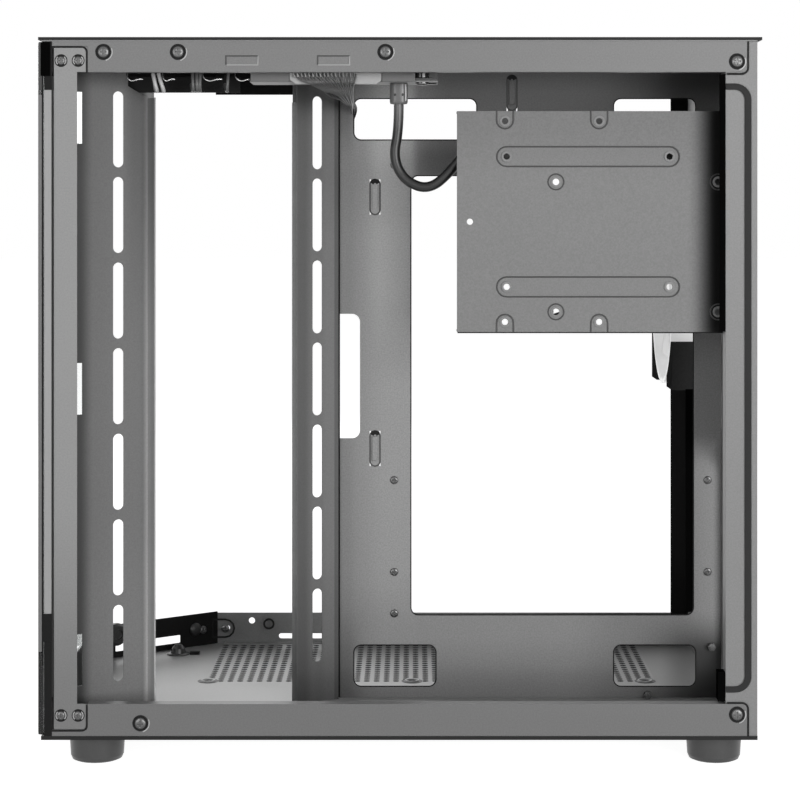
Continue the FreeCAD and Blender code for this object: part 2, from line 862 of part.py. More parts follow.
def upper_side_rail():
    notch = rail_underside + size.post_tab_tall + size.fit_gap
    body = near_rail("upper_side_rail", rail_underside, roof_low, rail_underside, notch, upper=True)
    sketch = new_sketch(body, "XZ_Plane", near_face)
    low = rail_underside + size.rail_emboss_rise
    for index in range(2):
        middle = size.rail_emboss_pitch * index - size.rail_emboss_first
        rectangle(sketch, middle - size.rail_emboss_long / 2, middle + size.rail_emboss_long / 2,
                  low, low + size.rail_emboss_tall)
    cut(body, sketch, size.emboss_depth * 2)


def post_screw_places():
    places = []
    for middle in (rail_top - size.post_screw_level, rail_underside + size.post_screw_level):
        places.append((size.post_screw_first - size.post_front, middle))
        places.append((size.post_screw_second - size.post_front, middle))
    return places


def front_post():
    body = new_body("front_post")
    web = new_sketch(body, "XZ_Plane", near_face)
    front = -size.post_front
    inner = front + size.post_wide
    tab = front + size.post_tab_wide
    low = rail_top - size.post_tab_tall
    high = rail_underside + size.post_tab_tall
    outline(web, [(front, low), (tab, low), (tab, rail_top), (inner, rail_top),
                  (inner, rail_underside), (tab, rail_underside), (tab, high), (front, high)])
    pad(body, web, size.steel, backward=True)
    side = new_sketch(body, "XY_Plane", rail_top)
    rectangle(side, front, front + size.steel, near_face + size.steel / 2, near_face + size.post_lip)
    pad(body, side, rail_underside - rail_top)
    holes = new_sketch(body, "XZ_Plane", near_face)
    for x, z in post_screw_places():
        hole(holes, x, z, size.screw_bore)
    cut(body, holes, through)


# Rails of the far side, the cut-off corner and the front

def far_rail(label, low, tall, lip_level):
    body = new_body(label)
    rear = size.rear_reach - size.far_flange - size.fit_gap
    web = new_sketch(body, "XZ_Plane", far_rail_face)
    rectangle(web, corner_far, rear, low, low + tall)
    pad(body, web, size.steel)
    lip = new_sketch(body, "XY_Plane", lip_level)
    face = far_rail_face - size.steel
    rectangle(lip, corner_far + size.corner_rail_start, rear, face - size.far_rail_lip,
              face + size.steel / 2)
    pad(body, lip, size.steel)
    marks = new_sketch(body, "XZ_Plane", far_rail_face)
    for x in (corner_far + size.rail_lip, rear - size.rail_lip):
        hole(marks, x, low + tall / 2, size.screw_bore)
    start = corner_far + size.rail_window_run
    level = low + size.rail_window_rise
    slot(marks, (start, level), (start + size.rail_window_long, level), size.rail_window_tall / 2)
    cut(body, marks, through)
    return body


def lower_glass_rail():
    body = far_rail("lower_glass_rail", size.floor_top, size.far_rail_tall, size.floor_top)
    sketch = new_sketch(body, "XZ_Plane", far_rail_face)
    hole(sketch, corner_far + size.rail_hole_run, size.floor_top + size.rail_hole_rise,
         size.rail_hole_bore)
    cut(body, sketch, through)


def corner_rail(label, low, tall, slot_low, hole_level):
    body = new_body(label)
    web = new_sketch(body, "XZ_Plane", zero)
    run = math.hypot(size.corner_run.value, size.corner_depth.value)
    # The slanted length comes from its two legs
    long = Length(run, "sqrt(Sizes.corner_run ^ 2 + Sizes.corner_depth ^ 2)") - size.corner_rail_trim
    rectangle(web, zero, long, low, low + tall)
    pad(body, web, size.steel, backward=True)
    marks = new_sketch(body, "XZ_Plane", zero)
    window(marks, size.rail_lip, size.rail_lip + size.corner_slot_long,
           slot_low, slot_low + size.corner_slot_tall, size.steel)
    hole(marks, long - size.rail_lip, hole_level, size.screw_bore)
    cut(body, marks, through)
    turn = Length(math.degrees(math.atan2(size.corner_depth.value, size.corner_run.value)),
                  "atan(Sizes.corner_depth / Sizes.corner_run)")
    place(body, size.corner_rail_start - size.front_reach, corner_front - size.corner_rail_gap,
          zero, turn)


def front_rail(label, low, tall):
    body = new_body(label)
    web = new_sketch(body, "YZ_Plane", -size.front_rail_setback)
    near = near_face + size.steel + size.fit_gap
    rectangle(web, near, corner_front - size.far_rail_lip, low, low + tall)
    pad(body, web, size.steel)


def glass_edge(label, low, high):
    # The near edge of the glass lies behind a slim folded strip with a block at each end
    body = new_body(label)
    front = -size.front_rail_setback
    section = new_sketch(body, "XY_Plane", low)
    folded(section, [(front, near_face), (front + size.glass_edge_wide, near_face),
                     (front + size.glass_edge_wide, near_face + size.glass_edge_deep)], size.steel)
    pad(body, section, high - low)


def glass_edges():
    block_top = size.floor_top + size.glass_block_tall
    block_low = roof_low - size.glass_block_upper_tall
    glass_edge("glass_edge_strip", block_top, block_low)
    glass_edge("glass_block_low", size.floor_top, block_top)
    glass_edge("glass_block_high", block_low, roof_low)


def front_glass():
    body = new_body("front_glass")
    sketch = new_sketch(body, "YZ_Plane", -size.front_rail_setback - size.fit_gap)
    window(sketch, near_face, corner_front, size.floor_top + size.glass_gap,
           roof_low - size.glass_gap, size.glass_corner)
    pad(body, sketch, size.glass_thick, backward=True)


# Slotted strips that hold the side fans, both in one slanted plane

def fan_strip(label, start, left, right, lip_deep, notched):
    body = new_body(label)
    low = size.floor_top
    high = roof_low
    plate = new_sketch(body, "XZ_Plane", zero)
    if notched:
        # The upper rear corner is cut away at a slant, clear of the control shelf
        inner = right - size.strip_cut_wide
        outline(plate, [(left, low), (right, low), (right, size.strip_cut_low),
                        (inner, size.strip_cut_low + size.strip_cut_rise), (inner, high), (left, high)])
    else:
        rectangle(plate, left, right, low, high)
    pad(body, plate, size.steel, backward=True)
    lip = new_sketch(body, "XY_Plane", low)
    if notched:
        rectangle(lip, right - size.steel, right, -lip_deep, size.steel / 2)
    else:
        rectangle(lip, left, left + size.steel, size.steel / 2, lip_deep)
    pad(body, lip, size.strip_cut_low - low)
    first = new_sketch(body, "XZ_Plane", zero)
    radius = size.fan_slot_wide / 2
    slot(first, (zero, size.fan_slot_low + radius),
         (zero, size.fan_slot_low + size.fan_slot_long - radius), radius)
    repeat(body, cut(body, first, through), "Z_Axis", size.fan_slot_pitch, size.fan_slot_count)
    if notched:
        notch = new_sketch(body, "XZ_Plane", zero)
        rectangle(notch, left - size.steel, left + size.strip_notch_deep, size.strip_notch_low,
                  size.strip_notch_low + size.strip_notch_tall)
        repeat(body, cut(body, notch, through), "Z_Axis", size.strip_notch_step, size.strip_notch_count)
    radians = math.radians(size.strip_turn.value)
    along_x = Length(math.cos(radians), "cos(Sizes.strip_turn * 1 deg)")
    along_y = Length(math.sin(radians), "sin(Sizes.strip_turn * 1 deg)")
    place(body, start * along_x - size.strip_slot_x, near_face + size.strip_inset + start * along_y,
          zero, size.strip_turn)


def fan_strips():
    fan_strip("fan_strip_front", zero, -size.strip_front_edge, size.strip_rear_edge,
              size.strip_lip, True)
    fan_strip("fan_strip_rear", size.strip_gap, -size.second_strip_front, size.second_strip_rear,
              size.second_strip_lip, False)


# Motherboard tray

def tray_screw_places():
    near = size.opening_front - size.tray_screw_near
    far = opening_rear + size.tray_screw_far
    upper = size.opening_low + size.tray_screw_upper
    middle = size.opening_low + size.tray_screw_middle
    return [(near, size.opening_high + size.tray_screw_top), (near, upper), (near, middle),
            (near, size.opening_low + size.tray_screw_lower), (far, upper), (far, middle)]


def motherboard_tray():
    body = new_body("motherboard_tray")
    level = tray_level
    plate = new_sketch(body, "XZ_Plane", level)
    rectangle(plate, -size.tray_front, tray_rear, size.floor_top, roof_low)
    pad(body, plate, size.steel, backward=True)
    cuts = new_sketch(body, "XZ_Plane", level)
    radius = size.window_radius
    window(cuts, size.opening_front, opening_rear, size.opening_low, size.opening_high, radius)
    front = -size.cable_window_front
    low = size.lower_window_low
    high = low + size.cable_window_tall
    window(cuts, front, front + size.cable_window_long, low, high, radius)
    window(cuts, rear_window_front, rear_window_front + size.cable_window_long, low, high, radius)
    low = size.upper_window_low
    high = low + size.cable_window_tall
    window(cuts, front, front + size.upper_window_long, low, high, radius)
    window(cuts, rear_window_front, rear_window_front + size.cable_window_long, low, high, radius)
    outside = -size.tray_front - size.tray_notch_deep
    window(cuts, outside, size.tray_notch_deep - size.tray_front,
           size.tray_notch_low, size.tray_notch_high, radius)
    for x, z in tray_screw_places():
        hole(cuts, x, z, size.screw_bore)
    cut(body, cuts, through)
    lower = tie_slits(body, -size.tie_slot_front, size.tie_slot_low, size.tie_slot_long)
    repeat(body, lower, "Z_Axis", size.tie_slot_step, size.tie_count)
    tie_slits(body, size.upper_tie_place, size.upper_tie_low, size.upper_tie_long)


def tie_slits(body, middle, low, long):
    # A tie bridge is what is left between a pair of narrow slits
    sketch = new_sketch(body, "XZ_Plane", tray_level)
    for side in (-1, 1):
        edge = middle + size.tie_slot_wide / 2 * side
        rectangle(sketch, edge - size.tie_slit / 2, edge + size.tie_slit / 2, low, low + long)
    return cut(body, sketch, through)


# Drive plate

def drive_plate():
    body = new_body("drive_plate")
    level = plate_level
    rear = rear_inner - size.fit_gap
    high = size.plate_low + size.plate_tall
    plate = new_sketch(body, "XZ_Plane", level)
    rectangle(plate, size.plate_front, rear, size.plate_low, high)
    pad(body, plate, size.steel, backward=True)
    for low in (size.plate_low, high - size.steel):
        lip = new_sketch(body, "XY_Plane", low)
        rectangle(lip, size.plate_front, rear, level + size.steel / 2, level + size.plate_lip)
        pad(body, lip, size.steel)
    end = new_sketch(body, "YZ_Plane", rear - size.steel)
    rectangle(end, level + size.steel / 2, level + size.plate_lip, size.plate_low, high)
    pad(body, end, size.steel)
    beads = new_sketch(body, "XZ_Plane", level)
    first = size.drive_hole_front
    last = first + size.drive_hole_long
    radius = size.drive_bead_tall / 2
    for rise in (zero, size.drive_hole_tall):
        middle = size.drive_hole_low + rise
        slot(beads, (first, middle), (last, middle), radius)
    cut(body, beads, size.emboss_depth * 2)
    holes = new_sketch(body, "XZ_Plane", level)
    hole(holes, size.plate_front + size.edge_hole_run, size.edge_hole_level, size.drive_hole_bore)
    for rise in (zero, size.drive_hole_tall):
        middle = size.drive_hole_low + rise
        for x in (first, last):
            hole(holes, x, middle, size.drive_hole_bore)
            hole(holes, x + size.side_hole_run, middle - size.side_hole_drop, size.side_hole_bore)
    cut(body, holes, through)
    notches = new_sketch(body, "XZ_Plane", level)
    for edge, side in ((size.plate_low, 1), (high, -1)):
        for index in range(2):
            middle = size.plate_notch_first + size.plate_notch_pitch * index
            hole(notches, middle, edge + size.plate_notch_inset * side, size.drive_hole_bore)
    cut(body, notches, through)


# Feet

def feet():
    places = [(-size.foot_front, size.foot_inset - half_width),
              (size.foot_rear, size.foot_inset - half_width),
              (size.foot_rear, half_width - size.foot_inset),
              (-size.foot_front, corner_front - size.foot_corner_drop)]
    for index, (x, y) in enumerate(places):
        body = new_body(f"foot_{index + 1}")
        sketch = new_sketch(body, "XZ_Plane", zero)
        top = size.floor_top - size.steel
        foot = size.foot_bottom / 2
        rim = size.foot_rim
        outline(sketch, [(zero, zero), (foot - rim, zero), (foot - size.foot_edge, size.foot_edge),
                         (foot, rim), (size.foot_top / 2, top), (zero, top)])
        turned = body.newObject("PartDesign::Revolution", f"foot_{index + 1}_turned")
        turned.Profile = sketch
        turned.ReferenceAxis = (sketch, ["V_Axis"])
        turned.Angle = FULL_TURN
        body.Tip = turned
        place(body, x, y, zero)


# Control panel under the roof

def hung_shelf(label, front, rear, low):
    # A sheet that hangs from the roof by its far edge
    body = new_body(label)
    section = new_sketch(body, "YZ_Plane", front)
    flange_low = roof_low - size.steel
    folded(section, [(shelf_near, low), (shelf_far, low), (shelf_far, flange_low),
                     (shelf_far + size.rail_lip, flange_low)], size.steel)
    pad(body, section, rear - front)


def control_board():
    body = new_body("control_board")
    sketch = new_sketch(body, "XY_Plane", shelf_top)
    edge = shelf_far - size.steel - size.fit_gap
    rectangle(sketch, -size.board_front, size.shelf_rear - size.steel, shelf_near, edge)
    pad(body, sketch, size.board_thick)


def button(label, middle, bore):
    # The cap rides in the roof and its cover, held from below by a collar, and its stem
    # stops just above the switch when the button is pressed home
    body = new_body(label)
    collar_top = roof_low - size.fit_gap
    collar_low = collar_top - size.button_collar
    stem_low = switch_top() + size.button_travel + size.fit_gap
    cap = new_sketch(body, "XY_Plane", collar_low, (-middle, io_across))
    hole(cap, zero, zero, bore - size.button_gap * 2)
    pad(body, cap, cover_top + size.button_proud - collar_low)
    collar = new_sketch(body, "XY_Plane", collar_low, (-middle, io_across))
    hole(collar, zero, zero, bore + size.button_collar * 2)
    pad(body, collar, size.button_collar)
    stem = new_sketch(body, "XY_Plane", stem_low, (-middle, io_across))
    hole(stem, zero, zero, size.button_stem)
    pad(body, stem, collar_low - stem_low)


def switch_top():
    return bracket_top + size.switch_tall


def switch_base(label, middle):
    body = new_body(label)
    sketch = new_sketch(body, "XY_Plane", bracket_top, (-middle, io_across))
    half = size.switch_wide / 2
    window(sketch, -half, half, -half, half, size.steel)
    pad(body, sketch, size.switch_tall)


def socket(label, middle, long, wide, throat_long, throat_wide):
    body = new_body(label)
    top = cover_top - size.steel / 2
    sketch = new_sketch(body, "XY_Plane", board_top, (middle, io_across))
    rectangle(sketch, -long / 2, long / 2, -wide / 2, wide / 2)
    pad(body, sketch, top - board_top)
    mouth = new_sketch(body, "XY_Plane", top, (middle, io_across))
    rectangle(mouth, -throat_long / 2, throat_long / 2, -throat_wide / 2, throat_wide / 2)
    cut(body, mouth, size.usb_throat_deep * 2)


def sockets():
    for index in range(2):
        socket(f"usb_socket_{index + 1}", size.usb_pitch * index - size.usb_first_place, size.usb_long,
               size.usb_wide, size.usb_throat_long, size.usb_throat_wide)
    socket("type_c_socket", -size.type_c_place, size.type_c_long, size.type_c_wide,
           size.type_c_long - size.steel, size.type_c_wide - size.steel)
    body = new_body("audio_jack")
    sketch = new_sketch(body, "XY_Plane", board_top, (size.jack_place, io_across))
    hole(sketch, zero, zero, size.jack_bore)
    pad(body, sketch, cover_top - size.steel / 2 - board_top)
    mouth = new_sketch(body, "XY_Plane", cover_top, (size.jack_place, io_across))
    hole(mouth, zero, zero, size.jack_throat)
    cut(body, mouth, size.usb_throat_deep * 2)


# Rear fan

def fan_frame():
    body = new_body("rear_fan_frame")
    centre = (fan_centre, size.fan_centre_high)
    front = rear_inner - size.fan_thick
    half = size.fan_size / 2
    shell = new_sketch(body, "YZ_Plane", front, centre)
    window(shell, -half, half, -half, half, size.fan_corner)
    hole(shell, zero, zero, size.fan_bore)
    for side in (-1, 1):
        for rise in (-1, 1):
            hole(shell, size.fan_hole_pitch / 2 * side, size.fan_hole_pitch / 2 * rise, size.fan_hole_bore)
    pad(body, shell, size.fan_thick)
    hub = new_sketch(body, "YZ_Plane", rear_inner, centre)
    hole(hub, zero, zero, size.fan_hub)
    hole(hub, zero, zero, size.fan_shaft + size.shaft_gap * 2)
    pad(body, hub, size.fan_back, backward=True)
    bar = new_sketch(body, "YZ_Plane", rear_inner, centre)
    rectangle(bar, size.fan_hub / 2 - size.steel, size.fan_bore / 2 + size.steel,
              -size.fan_strut / 2, size.fan_strut / 2)
    strut = pad(body, bar, size.fan_back, backward=True)
    repeat_round(body, strut, bar, size.strut_count)


def blade_section(radius, chord, pitch, camber, middle):
    # A thin curved section in the plane square to the blade's reach
    turn = math.radians(pitch)
    along = FreeCAD.Vector(math.sin(turn), math.cos(turn), 0) * (chord / 2)
    across = FreeCAD.Vector(math.cos(turn), -math.sin(turn), 0)
    thick = size.blade_thick.value
    centre = FreeCAD.Vector(middle, 0, radius)
    upper = Part.Arc(centre - along, centre + across * (camber + thick), centre + along)
    lower = Part.Arc(centre + along, centre + across * camber, centre - along)
    return Part.Wire([upper.toShape(), lower.toShape()])


def fan_impeller():
    front = rear_inner.value - size.fan_thick.value + size.fan_back.value
    back = rear_inner.value - size.fan_back.value - size.steel.value
    axis = FreeCAD.Vector(1, 0, 0)
    hub_radius = size.fan_hub.value / 2
    hub = Part.makeCylinder(hub_radius, back - front, FreeCAD.Vector(front, 0, 0), axis)
    shaft = Part.makeCylinder(size.fan_shaft.value / 2, size.fan_back.value + size.steel.value,
                              FreeCAD.Vector(back, 0, 0), axis)
    middle = (front + back) / 2
    root = blade_section(size.blade_root_reach.value, size.blade_root_chord.value,
                         size.blade_root_pitch.value, size.blade_root_camber.value, middle)
    tip = blade_section(size.blade_reach.value, size.blade_tip_chord.value,
                        size.blade_tip_pitch.value, size.blade_tip_camber.value, middle)
    blade = Part.makeLoft([root, tip], True, True)
    sweep = Part.makeCylinder(size.blade_reach.value - size.steel.value, back - front,
                              FreeCAD.Vector(front, 0, 0), axis)
    blade = blade.common(sweep)
    blades = []
    for index in range(int(size.blade_count.value)):
        copy = blade.copy()
        copy.rotate(FreeCAD.Vector(), axis, FULL_TURN / size.blade_count.value * index)
        blades.append(copy)
    item = new_feature("rear_fan_impeller", hub.fuse([shaft] + blades).removeSplitter())
    place(item, zero, fan_centre, size.fan_centre_high)


# Screws share one group for each place where they are used

def screw(point, direction):
    head = Part.makeCylinder(size.screw_head.value / 2, size.screw_head_tall.value, point, direction)
    head = head.makeChamfer(size.screw_chamfer.value, [head.Edges[0]])
    shank = Part.makeCylinder(size.screw_shank.value / 2, size.screw_long.value, point, direction * -1)
    return head.fuse(shank)


def screw_group(label, points, direction):
    new_feature(label, Part.makeCompound([screw(point, direction) for point in points]))


def screws():
    outward = FreeCAD.Vector(0, -1, 0)
    near = near_face.value
    rail = rail_screw_places(False) + rail_screw_places(True) + rear_corner_screws()
    points = [FreeCAD.Vector(x.value, near, z.value) for x, z in rail]
    screw_group("rail_screws", points, outward)
    points = [FreeCAD.Vector(x.value, near, z.value) for x, z in post_screw_places()]
    screw_group("post_screws", points, outward)
    points = [FreeCAD.Vector(x.value, tray_level.value, z.value) for x, z in tray_screw_places()]
    screw_group("tray_screws", points, outward)
    rearward = FreeCAD.Vector(1, 0, 0)
    reach = size.fan_hole_pitch.value / 2
    points = []
    for side in (-1, 1):
        for rise in (-1, 1):
            points.append(FreeCAD.Vector(rear_outer.value, fan_centre.value + reach * side,
                                         size.fan_centre_high.value + reach * rise))
    screw_group("fan_screws", points, rearward)


# Corner catches

def catches():
    body = new_body("corner_stud")
    sketch = new_sketch(body, "XZ_Plane", zero)
    foot = size.stud_size / 2
    tall = size.stud_tall
    shoulder = (size.stud_shoulder_size / 2, size.stud_shoulder_rise)
    outline(sketch, [(zero, zero), (foot, zero), shoulder, (size.stud_tip_size / 2, tall), (zero, tall)])
    turned = body.newObject("PartDesign::Revolution", "corner_stud_turned")
    turned.Profile = sketch
    turned.ReferenceAxis = (sketch, ["V_Axis"])
    turned.Angle = FULL_TURN
    body.Tip = turned
    place(body, -size.stud_front, half_width - size.stud_inset, size.floor_top)
    magnet = new_body("corner_magnet")
    level = size.steel - size.front_rail_setback
    disc = new_sketch(magnet, "YZ_Plane", level)
    hole(disc, corner_front - size.magnet_inset, size.floor_top + size.magnet_inset, size.magnet_size)
    pad(magnet, disc, size.magnet_thick)


# Cable and wires: straight runs joined by tangent arcs. Each point is a place along X, a
# distance from the near face or from the tray, and a level

CABLE_ROUTE = [(-1.0, 30.0, 386.0), (-1.0, 30.0, 371.0), (-4.4, 29.5, 354.0), (2.4, 29.0, 340.5),
               (17.2, 28.0, 335.0), (31.0, 27.0, 347.5), (42.0, 27.0, 363.5), (70.0, 27.0, 371.5),
               (150.0, 28.0, 371.0), (178.0, 28.0, 350.0), (183.0, 28.0, 300.0), (171.0, 28.0, 264.0),
               (138.0, 28.0, 256.6), (90.0, 28.0, 259.0)]
WIRES_IN_CHAMBER = [(-46.0, 30.0, 398.2), (-46.0, 30.0, 392.0), (-44.5, 34.5, 386.0),
                    (-38.5, 50.0, 383.0), (-33.0, 67.0, 385.0), (-28.0, 86.0, 388.0)]
WIRES_PAST_TRAY = [(-26.8, -5.0, 387.0), (-26.6, 4.0, 380.0), (-31.0, 9.5, 366.0),
                   (-33.0, 9.5, 344.0), (-32.0, 9.5, 318.0), (-33.0, 9.5, 290.0)]
BEND_SHARE = 0.45


def cord(label, route, diameter):
    points = [FreeCAD.Vector(*point) for point in route]
    edges = []
    last = points[0]
    for before, corner, after in zip(points, points[1:], points[2:]):
        back = (before - corner).normalize()
        ahead = (after - corner).normalize()
        shorter = min((before - corner).Length, (after - corner).Length)
        trim = BEND_SHARE * shorter
        half_turn = (math.pi - back.getAngle(ahead)) / 2
        radius = trim / math.tan(half_turn)
        inward = (back + ahead).normalize()
        middle = corner + inward * (radius / math.cos(half_turn) - radius)
        print(f"{label}: bend radius {radius:.1f} mm")
        edges.append(Part.LineSegment(last, corner + back * trim).toShape())
        edges.append(Part.Arc(corner + back * trim, middle, corner + ahead * trim).toShape())
        last = corner + ahead * trim
    edges.append(Part.LineSegment(last, points[-1]).toShape())
    path = Part.Wire(edges)
    ring = Part.Circle(points[0], points[1] - points[0], diameter.value / 2).toShape()
    tube = path.makePipeShell([Part.Wire(ring)], True, True)
    expected = math.pi * diameter.value ** 2 / 4 * path.Length
    print(f"{label}: length {path.Length:.1f} mm, volume over section times length "
          f"{tube.Volume / expected:.4f}")
    new_feature(label, tube)
    return points


def cylinder_between(start, end, diameter, far_diameter):
    run = end - start
    return Part.makeCone(diameter / 2, far_diameter / 2, run.Length, start, run)


def block_along(start, direction, long, wide, tall):
    # A block whose length starts at a cord's end and runs on in the cord's direction
    block = Part.makeBox(long, wide, tall, FreeCAD.Vector(0, -wide / 2, -tall / 2))
    block.Placement = FreeCAD.Placement(start, FreeCAD.Rotation(FreeCAD.Vector(1, 0, 0), direction))
    return block


def cords():
    near = near_face.value
    tray = tray_level.value
    route = cord("usb_cable", [(x, near + inset, z) for x, inset, z in CABLE_ROUTE], size.cable_size)
    top = FreeCAD.Vector(route[0].x, route[0].y, size.shelf_low.value)
    new_feature("cable_relief", cylinder_between(route[0], top, size.relief_foot.value,
                                                 size.relief_size.value))
    plug = block_along(route[-1], route[-1] - route[-2], size.plug_long.value,
                       size.plug_wide.value, size.plug_tall.value)
    new_feature("cable_plug", plug)
    wires_route = [(x, near + inset, z) for x, inset, z in WIRES_IN_CHAMBER]
    wires_route += [(x, tray + beyond, z) for x, beyond, z in WIRES_PAST_TRAY]
    wires = cord("panel_wires", wires_route, size.wires_size)
    header = block_along(wires[-1], wires[-1] - wires[-2], size.header_long.value,
                         size.header_wide.value, size.header_wide.value)
    new_feature("wires_plug", header)


def check_and_export():
    document.recompute()
    for item in document.Objects:
        if "Invalid" in item.State or "Error" in item.State:
            raise RuntimeError(f"{item.Label} failed: {item.State}")
    os.makedirs("parts", exist_ok=True)
    for node in nodes:
        shape = node.Shape
        if shape.isNull() or not shape.isValid():
            raise RuntimeError(f"{node.Label} has no valid shape")
        shape.exportStep(f"parts/{node.Label}.step")
        print(f"{node.Label}: {len(shape.Solids)} solids, {shape.Volume:.0f} mm3")
    print(f"{len(nodes)} nodes written")


floor_panel()
roof_panel()
top_cover()
bottom_dust_filter()
rear_panel()
far_rear_post()
slot_shelf()
for slot_index in range(int(size.slot_count.value)):
    slot_cover(slot_index)
lower_side_rail()
upper_side_rail()
front_post()
lower_glass_rail()
far_rail("upper_glass_rail", roof_low - size.far_rail_upper_tall, size.far_rail_upper_tall,
         roof_low - size.steel)
corner_rail("lower_corner_rail", size.floor_top, size.corner_rail_tall,
            size.floor_top + size.far_rail_lip, size.floor_top + size.corner_hole_rise)
corner_rail("upper_corner_rail", roof_low - size.far_rail_upper_tall, size.far_rail_upper_tall,
            roof_low - size.far_rail_lip - size.corner_slot_tall, roof_low - size.corner_hole_drop)
front_rail("lower_front_rail", size.floor_top, size.front_rail_tall)
front_rail("upper_front_rail", roof_low - size.rail_tall, size.rail_tall)
glass_edges()
front_glass()
fan_strips()
motherboard_tray()
drive_plate()
feet()
hung_shelf("control_shelf", -size.shelf_front, size.shelf_rear, size.shelf_low)
hung_shelf("button_bracket", -size.bracket_front, -size.bracket_rear, size.bracket_low)
control_board()
button("power_button", size.power_place, size.power_bore)
button("reset_button", size.reset_place, size.reset_bore)
switch_base("power_switch", size.power_place)
switch_base("reset_switch", size.reset_place)
sockets()
fan_frame()
fan_impeller()
screws()
catches()
cords()
check_and_export()
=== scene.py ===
import bmesh
import bpy
import math
from mathutils import Matrix, Vector


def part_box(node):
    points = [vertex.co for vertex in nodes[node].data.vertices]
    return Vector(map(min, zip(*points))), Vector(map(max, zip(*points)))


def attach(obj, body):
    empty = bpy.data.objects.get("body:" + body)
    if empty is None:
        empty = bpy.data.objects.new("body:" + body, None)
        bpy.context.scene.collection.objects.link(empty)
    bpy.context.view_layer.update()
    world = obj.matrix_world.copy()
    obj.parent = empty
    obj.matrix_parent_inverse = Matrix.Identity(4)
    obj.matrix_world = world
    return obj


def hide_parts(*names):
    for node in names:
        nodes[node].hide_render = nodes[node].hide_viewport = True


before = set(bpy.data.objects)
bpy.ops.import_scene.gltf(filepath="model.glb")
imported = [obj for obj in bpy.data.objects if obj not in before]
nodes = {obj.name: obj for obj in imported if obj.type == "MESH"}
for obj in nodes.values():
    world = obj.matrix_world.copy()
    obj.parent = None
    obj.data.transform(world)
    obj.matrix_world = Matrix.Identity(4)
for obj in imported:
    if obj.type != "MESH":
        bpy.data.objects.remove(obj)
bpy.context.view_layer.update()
thousandth = 0.001
print("frame loaded")


def metres(*lengths):
    # Sizes are written in millimetres, as on the part's drawing
    return tuple(length * thousandth for length in lengths)


def mm(length):
    return length * thousandth


# Camera and background

cameraView = {
    "place": metres(8, -1415, 321.6), "lens": 99.27, "sensor": 36,
    "shiftAcross": -0.0175, "shiftUp": -0.23375,
}
studio = {
    "worldForBounce": 0.14, "floorGlow": 0.93, "floorTone": 0.55, "floorReach": 14,
    "keyPlace": (1.1, -2.2, 0.45), "keySize": 1.3, "keyPower": 43,
    "fillPlace": (-1.2, -2.3, 0.25), "fillSize": 1.3, "fillPower": 19,
    "farPlace": (-0.5, 1.5, 1.0), "farSize": 1.4, "farPower": 9,
    "target": (0.0, 0.0, 0.2),
}


def makeCamera():
    data = bpy.data.cameras.new("photoCamera")
    data.sensor_fit = "HORIZONTAL"
    data.sensor_width = cameraView["sensor"]
    data.lens = cameraView["lens"]
    data.shift_x = cameraView["shiftAcross"]
    data.shift_y = cameraView["shiftUp"]
    data.clip_end = 60
    camera = bpy.data.objects.new("photoCamera", data)
    camera.location = cameraView["place"]
    camera.rotation_euler = (math.radians(90), 0, 0)
    bpy.context.scene.collection.objects.link(camera)
    bpy.context.scene.camera = camera


def seenDirectly(tree):
    # 1 where the camera, a mirror or a clear pane looks, 0 for the light that things receive
    path = tree.nodes.new("ShaderNodeLightPath")
    total = path.outputs["Is Camera Ray"]
    for name in ("Is Glossy Ray", "Is Transmission Ray"):
        add = tree.nodes.new("ShaderNodeMath")
        add.operation = "MAXIMUM"
        tree.links.new(total, add.inputs[0])
        tree.links.new(path.outputs[name], add.inputs[1])
        total = add.outputs[0]
    return total


def makeWorld():
    world = bpy.data.worlds.new("whiteStudio")
    world.use_nodes = True
    tree = world.node_tree
    background = tree.nodes["Background"]
    background.inputs["Color"].default_value = (1, 1, 1, 1)
    strength = tree.nodes.new("ShaderNodeMix")
    strength.inputs["A"].default_value = studio["worldForBounce"]
    strength.inputs["B"].default_value = 1.0
    tree.links.new(seenDirectly(tree), strength.inputs["Factor"])
    tree.links.new(strength.outputs["Result"], background.inputs["Strength"])
    bpy.context.scene.world = world


def makeStage():
    mesh = bpy.data.meshes.new("studioFloor")
    reach = studio["floorReach"]
    mesh.from_pydata([(-reach, -reach, 0), (reach, -reach, 0), (reach, reach, 0), (-reach, reach, 0)],
                     [], [(0, 1, 2, 3)])
    floor = bpy.data.objects.new("studioFloor", mesh)
    bpy.context.scene.collection.objects.link(floor)
    material = bpy.data.materials.new("studioFloorWhite")
    material.use_nodes = True
    tree = material.node_tree
    tree.nodes.clear()
    diffuse = tree.nodes.new("ShaderNodeBsdfDiffuse")
    tone = studio["floorTone"]
    diffuse.inputs["Color"].default_value = (tone, tone, tone, 1)
    glow = tree.nodes.new("ShaderNodeEmission")
    strength = tree.nodes.new("ShaderNodeMath")
    strength.operation = "MULTIPLY"
    strength.inputs[1].default_value = studio["floorGlow"]
    both = tree.nodes.new("ShaderNodeAddShader")
    output = tree.nodes.new("ShaderNodeOutputMaterial")
    tree.links.new(seenDirectly(tree), strength.inputs[0])
    tree.links.new(strength.outputs[0], glow.inputs["Strength"])
    tree.links.new(diffuse.outputs[0], both.inputs[0])
    tree.links.new(glow.outputs[0], both.inputs[1])
    tree.links.new(both.outputs[0], output.inputs["Surface"])
    mesh.materials.append(material)


def makeLamp(name):
    data = bpy.data.lights.new(name, "AREA")
    data.shape = "SQUARE"
    data.size = studio[name + "Size"]
    data.energy = studio[name + "Power"]
    lamp = bpy.data.objects.new(name, data)
    lamp.location = studio[name + "Place"]
    aim = Vector(studio["target"]) - lamp.location
    lamp.rotation_euler = aim.to_track_quat("-Z", "Y").to_euler()
    bpy.context.scene.collection.objects.link(lamp)


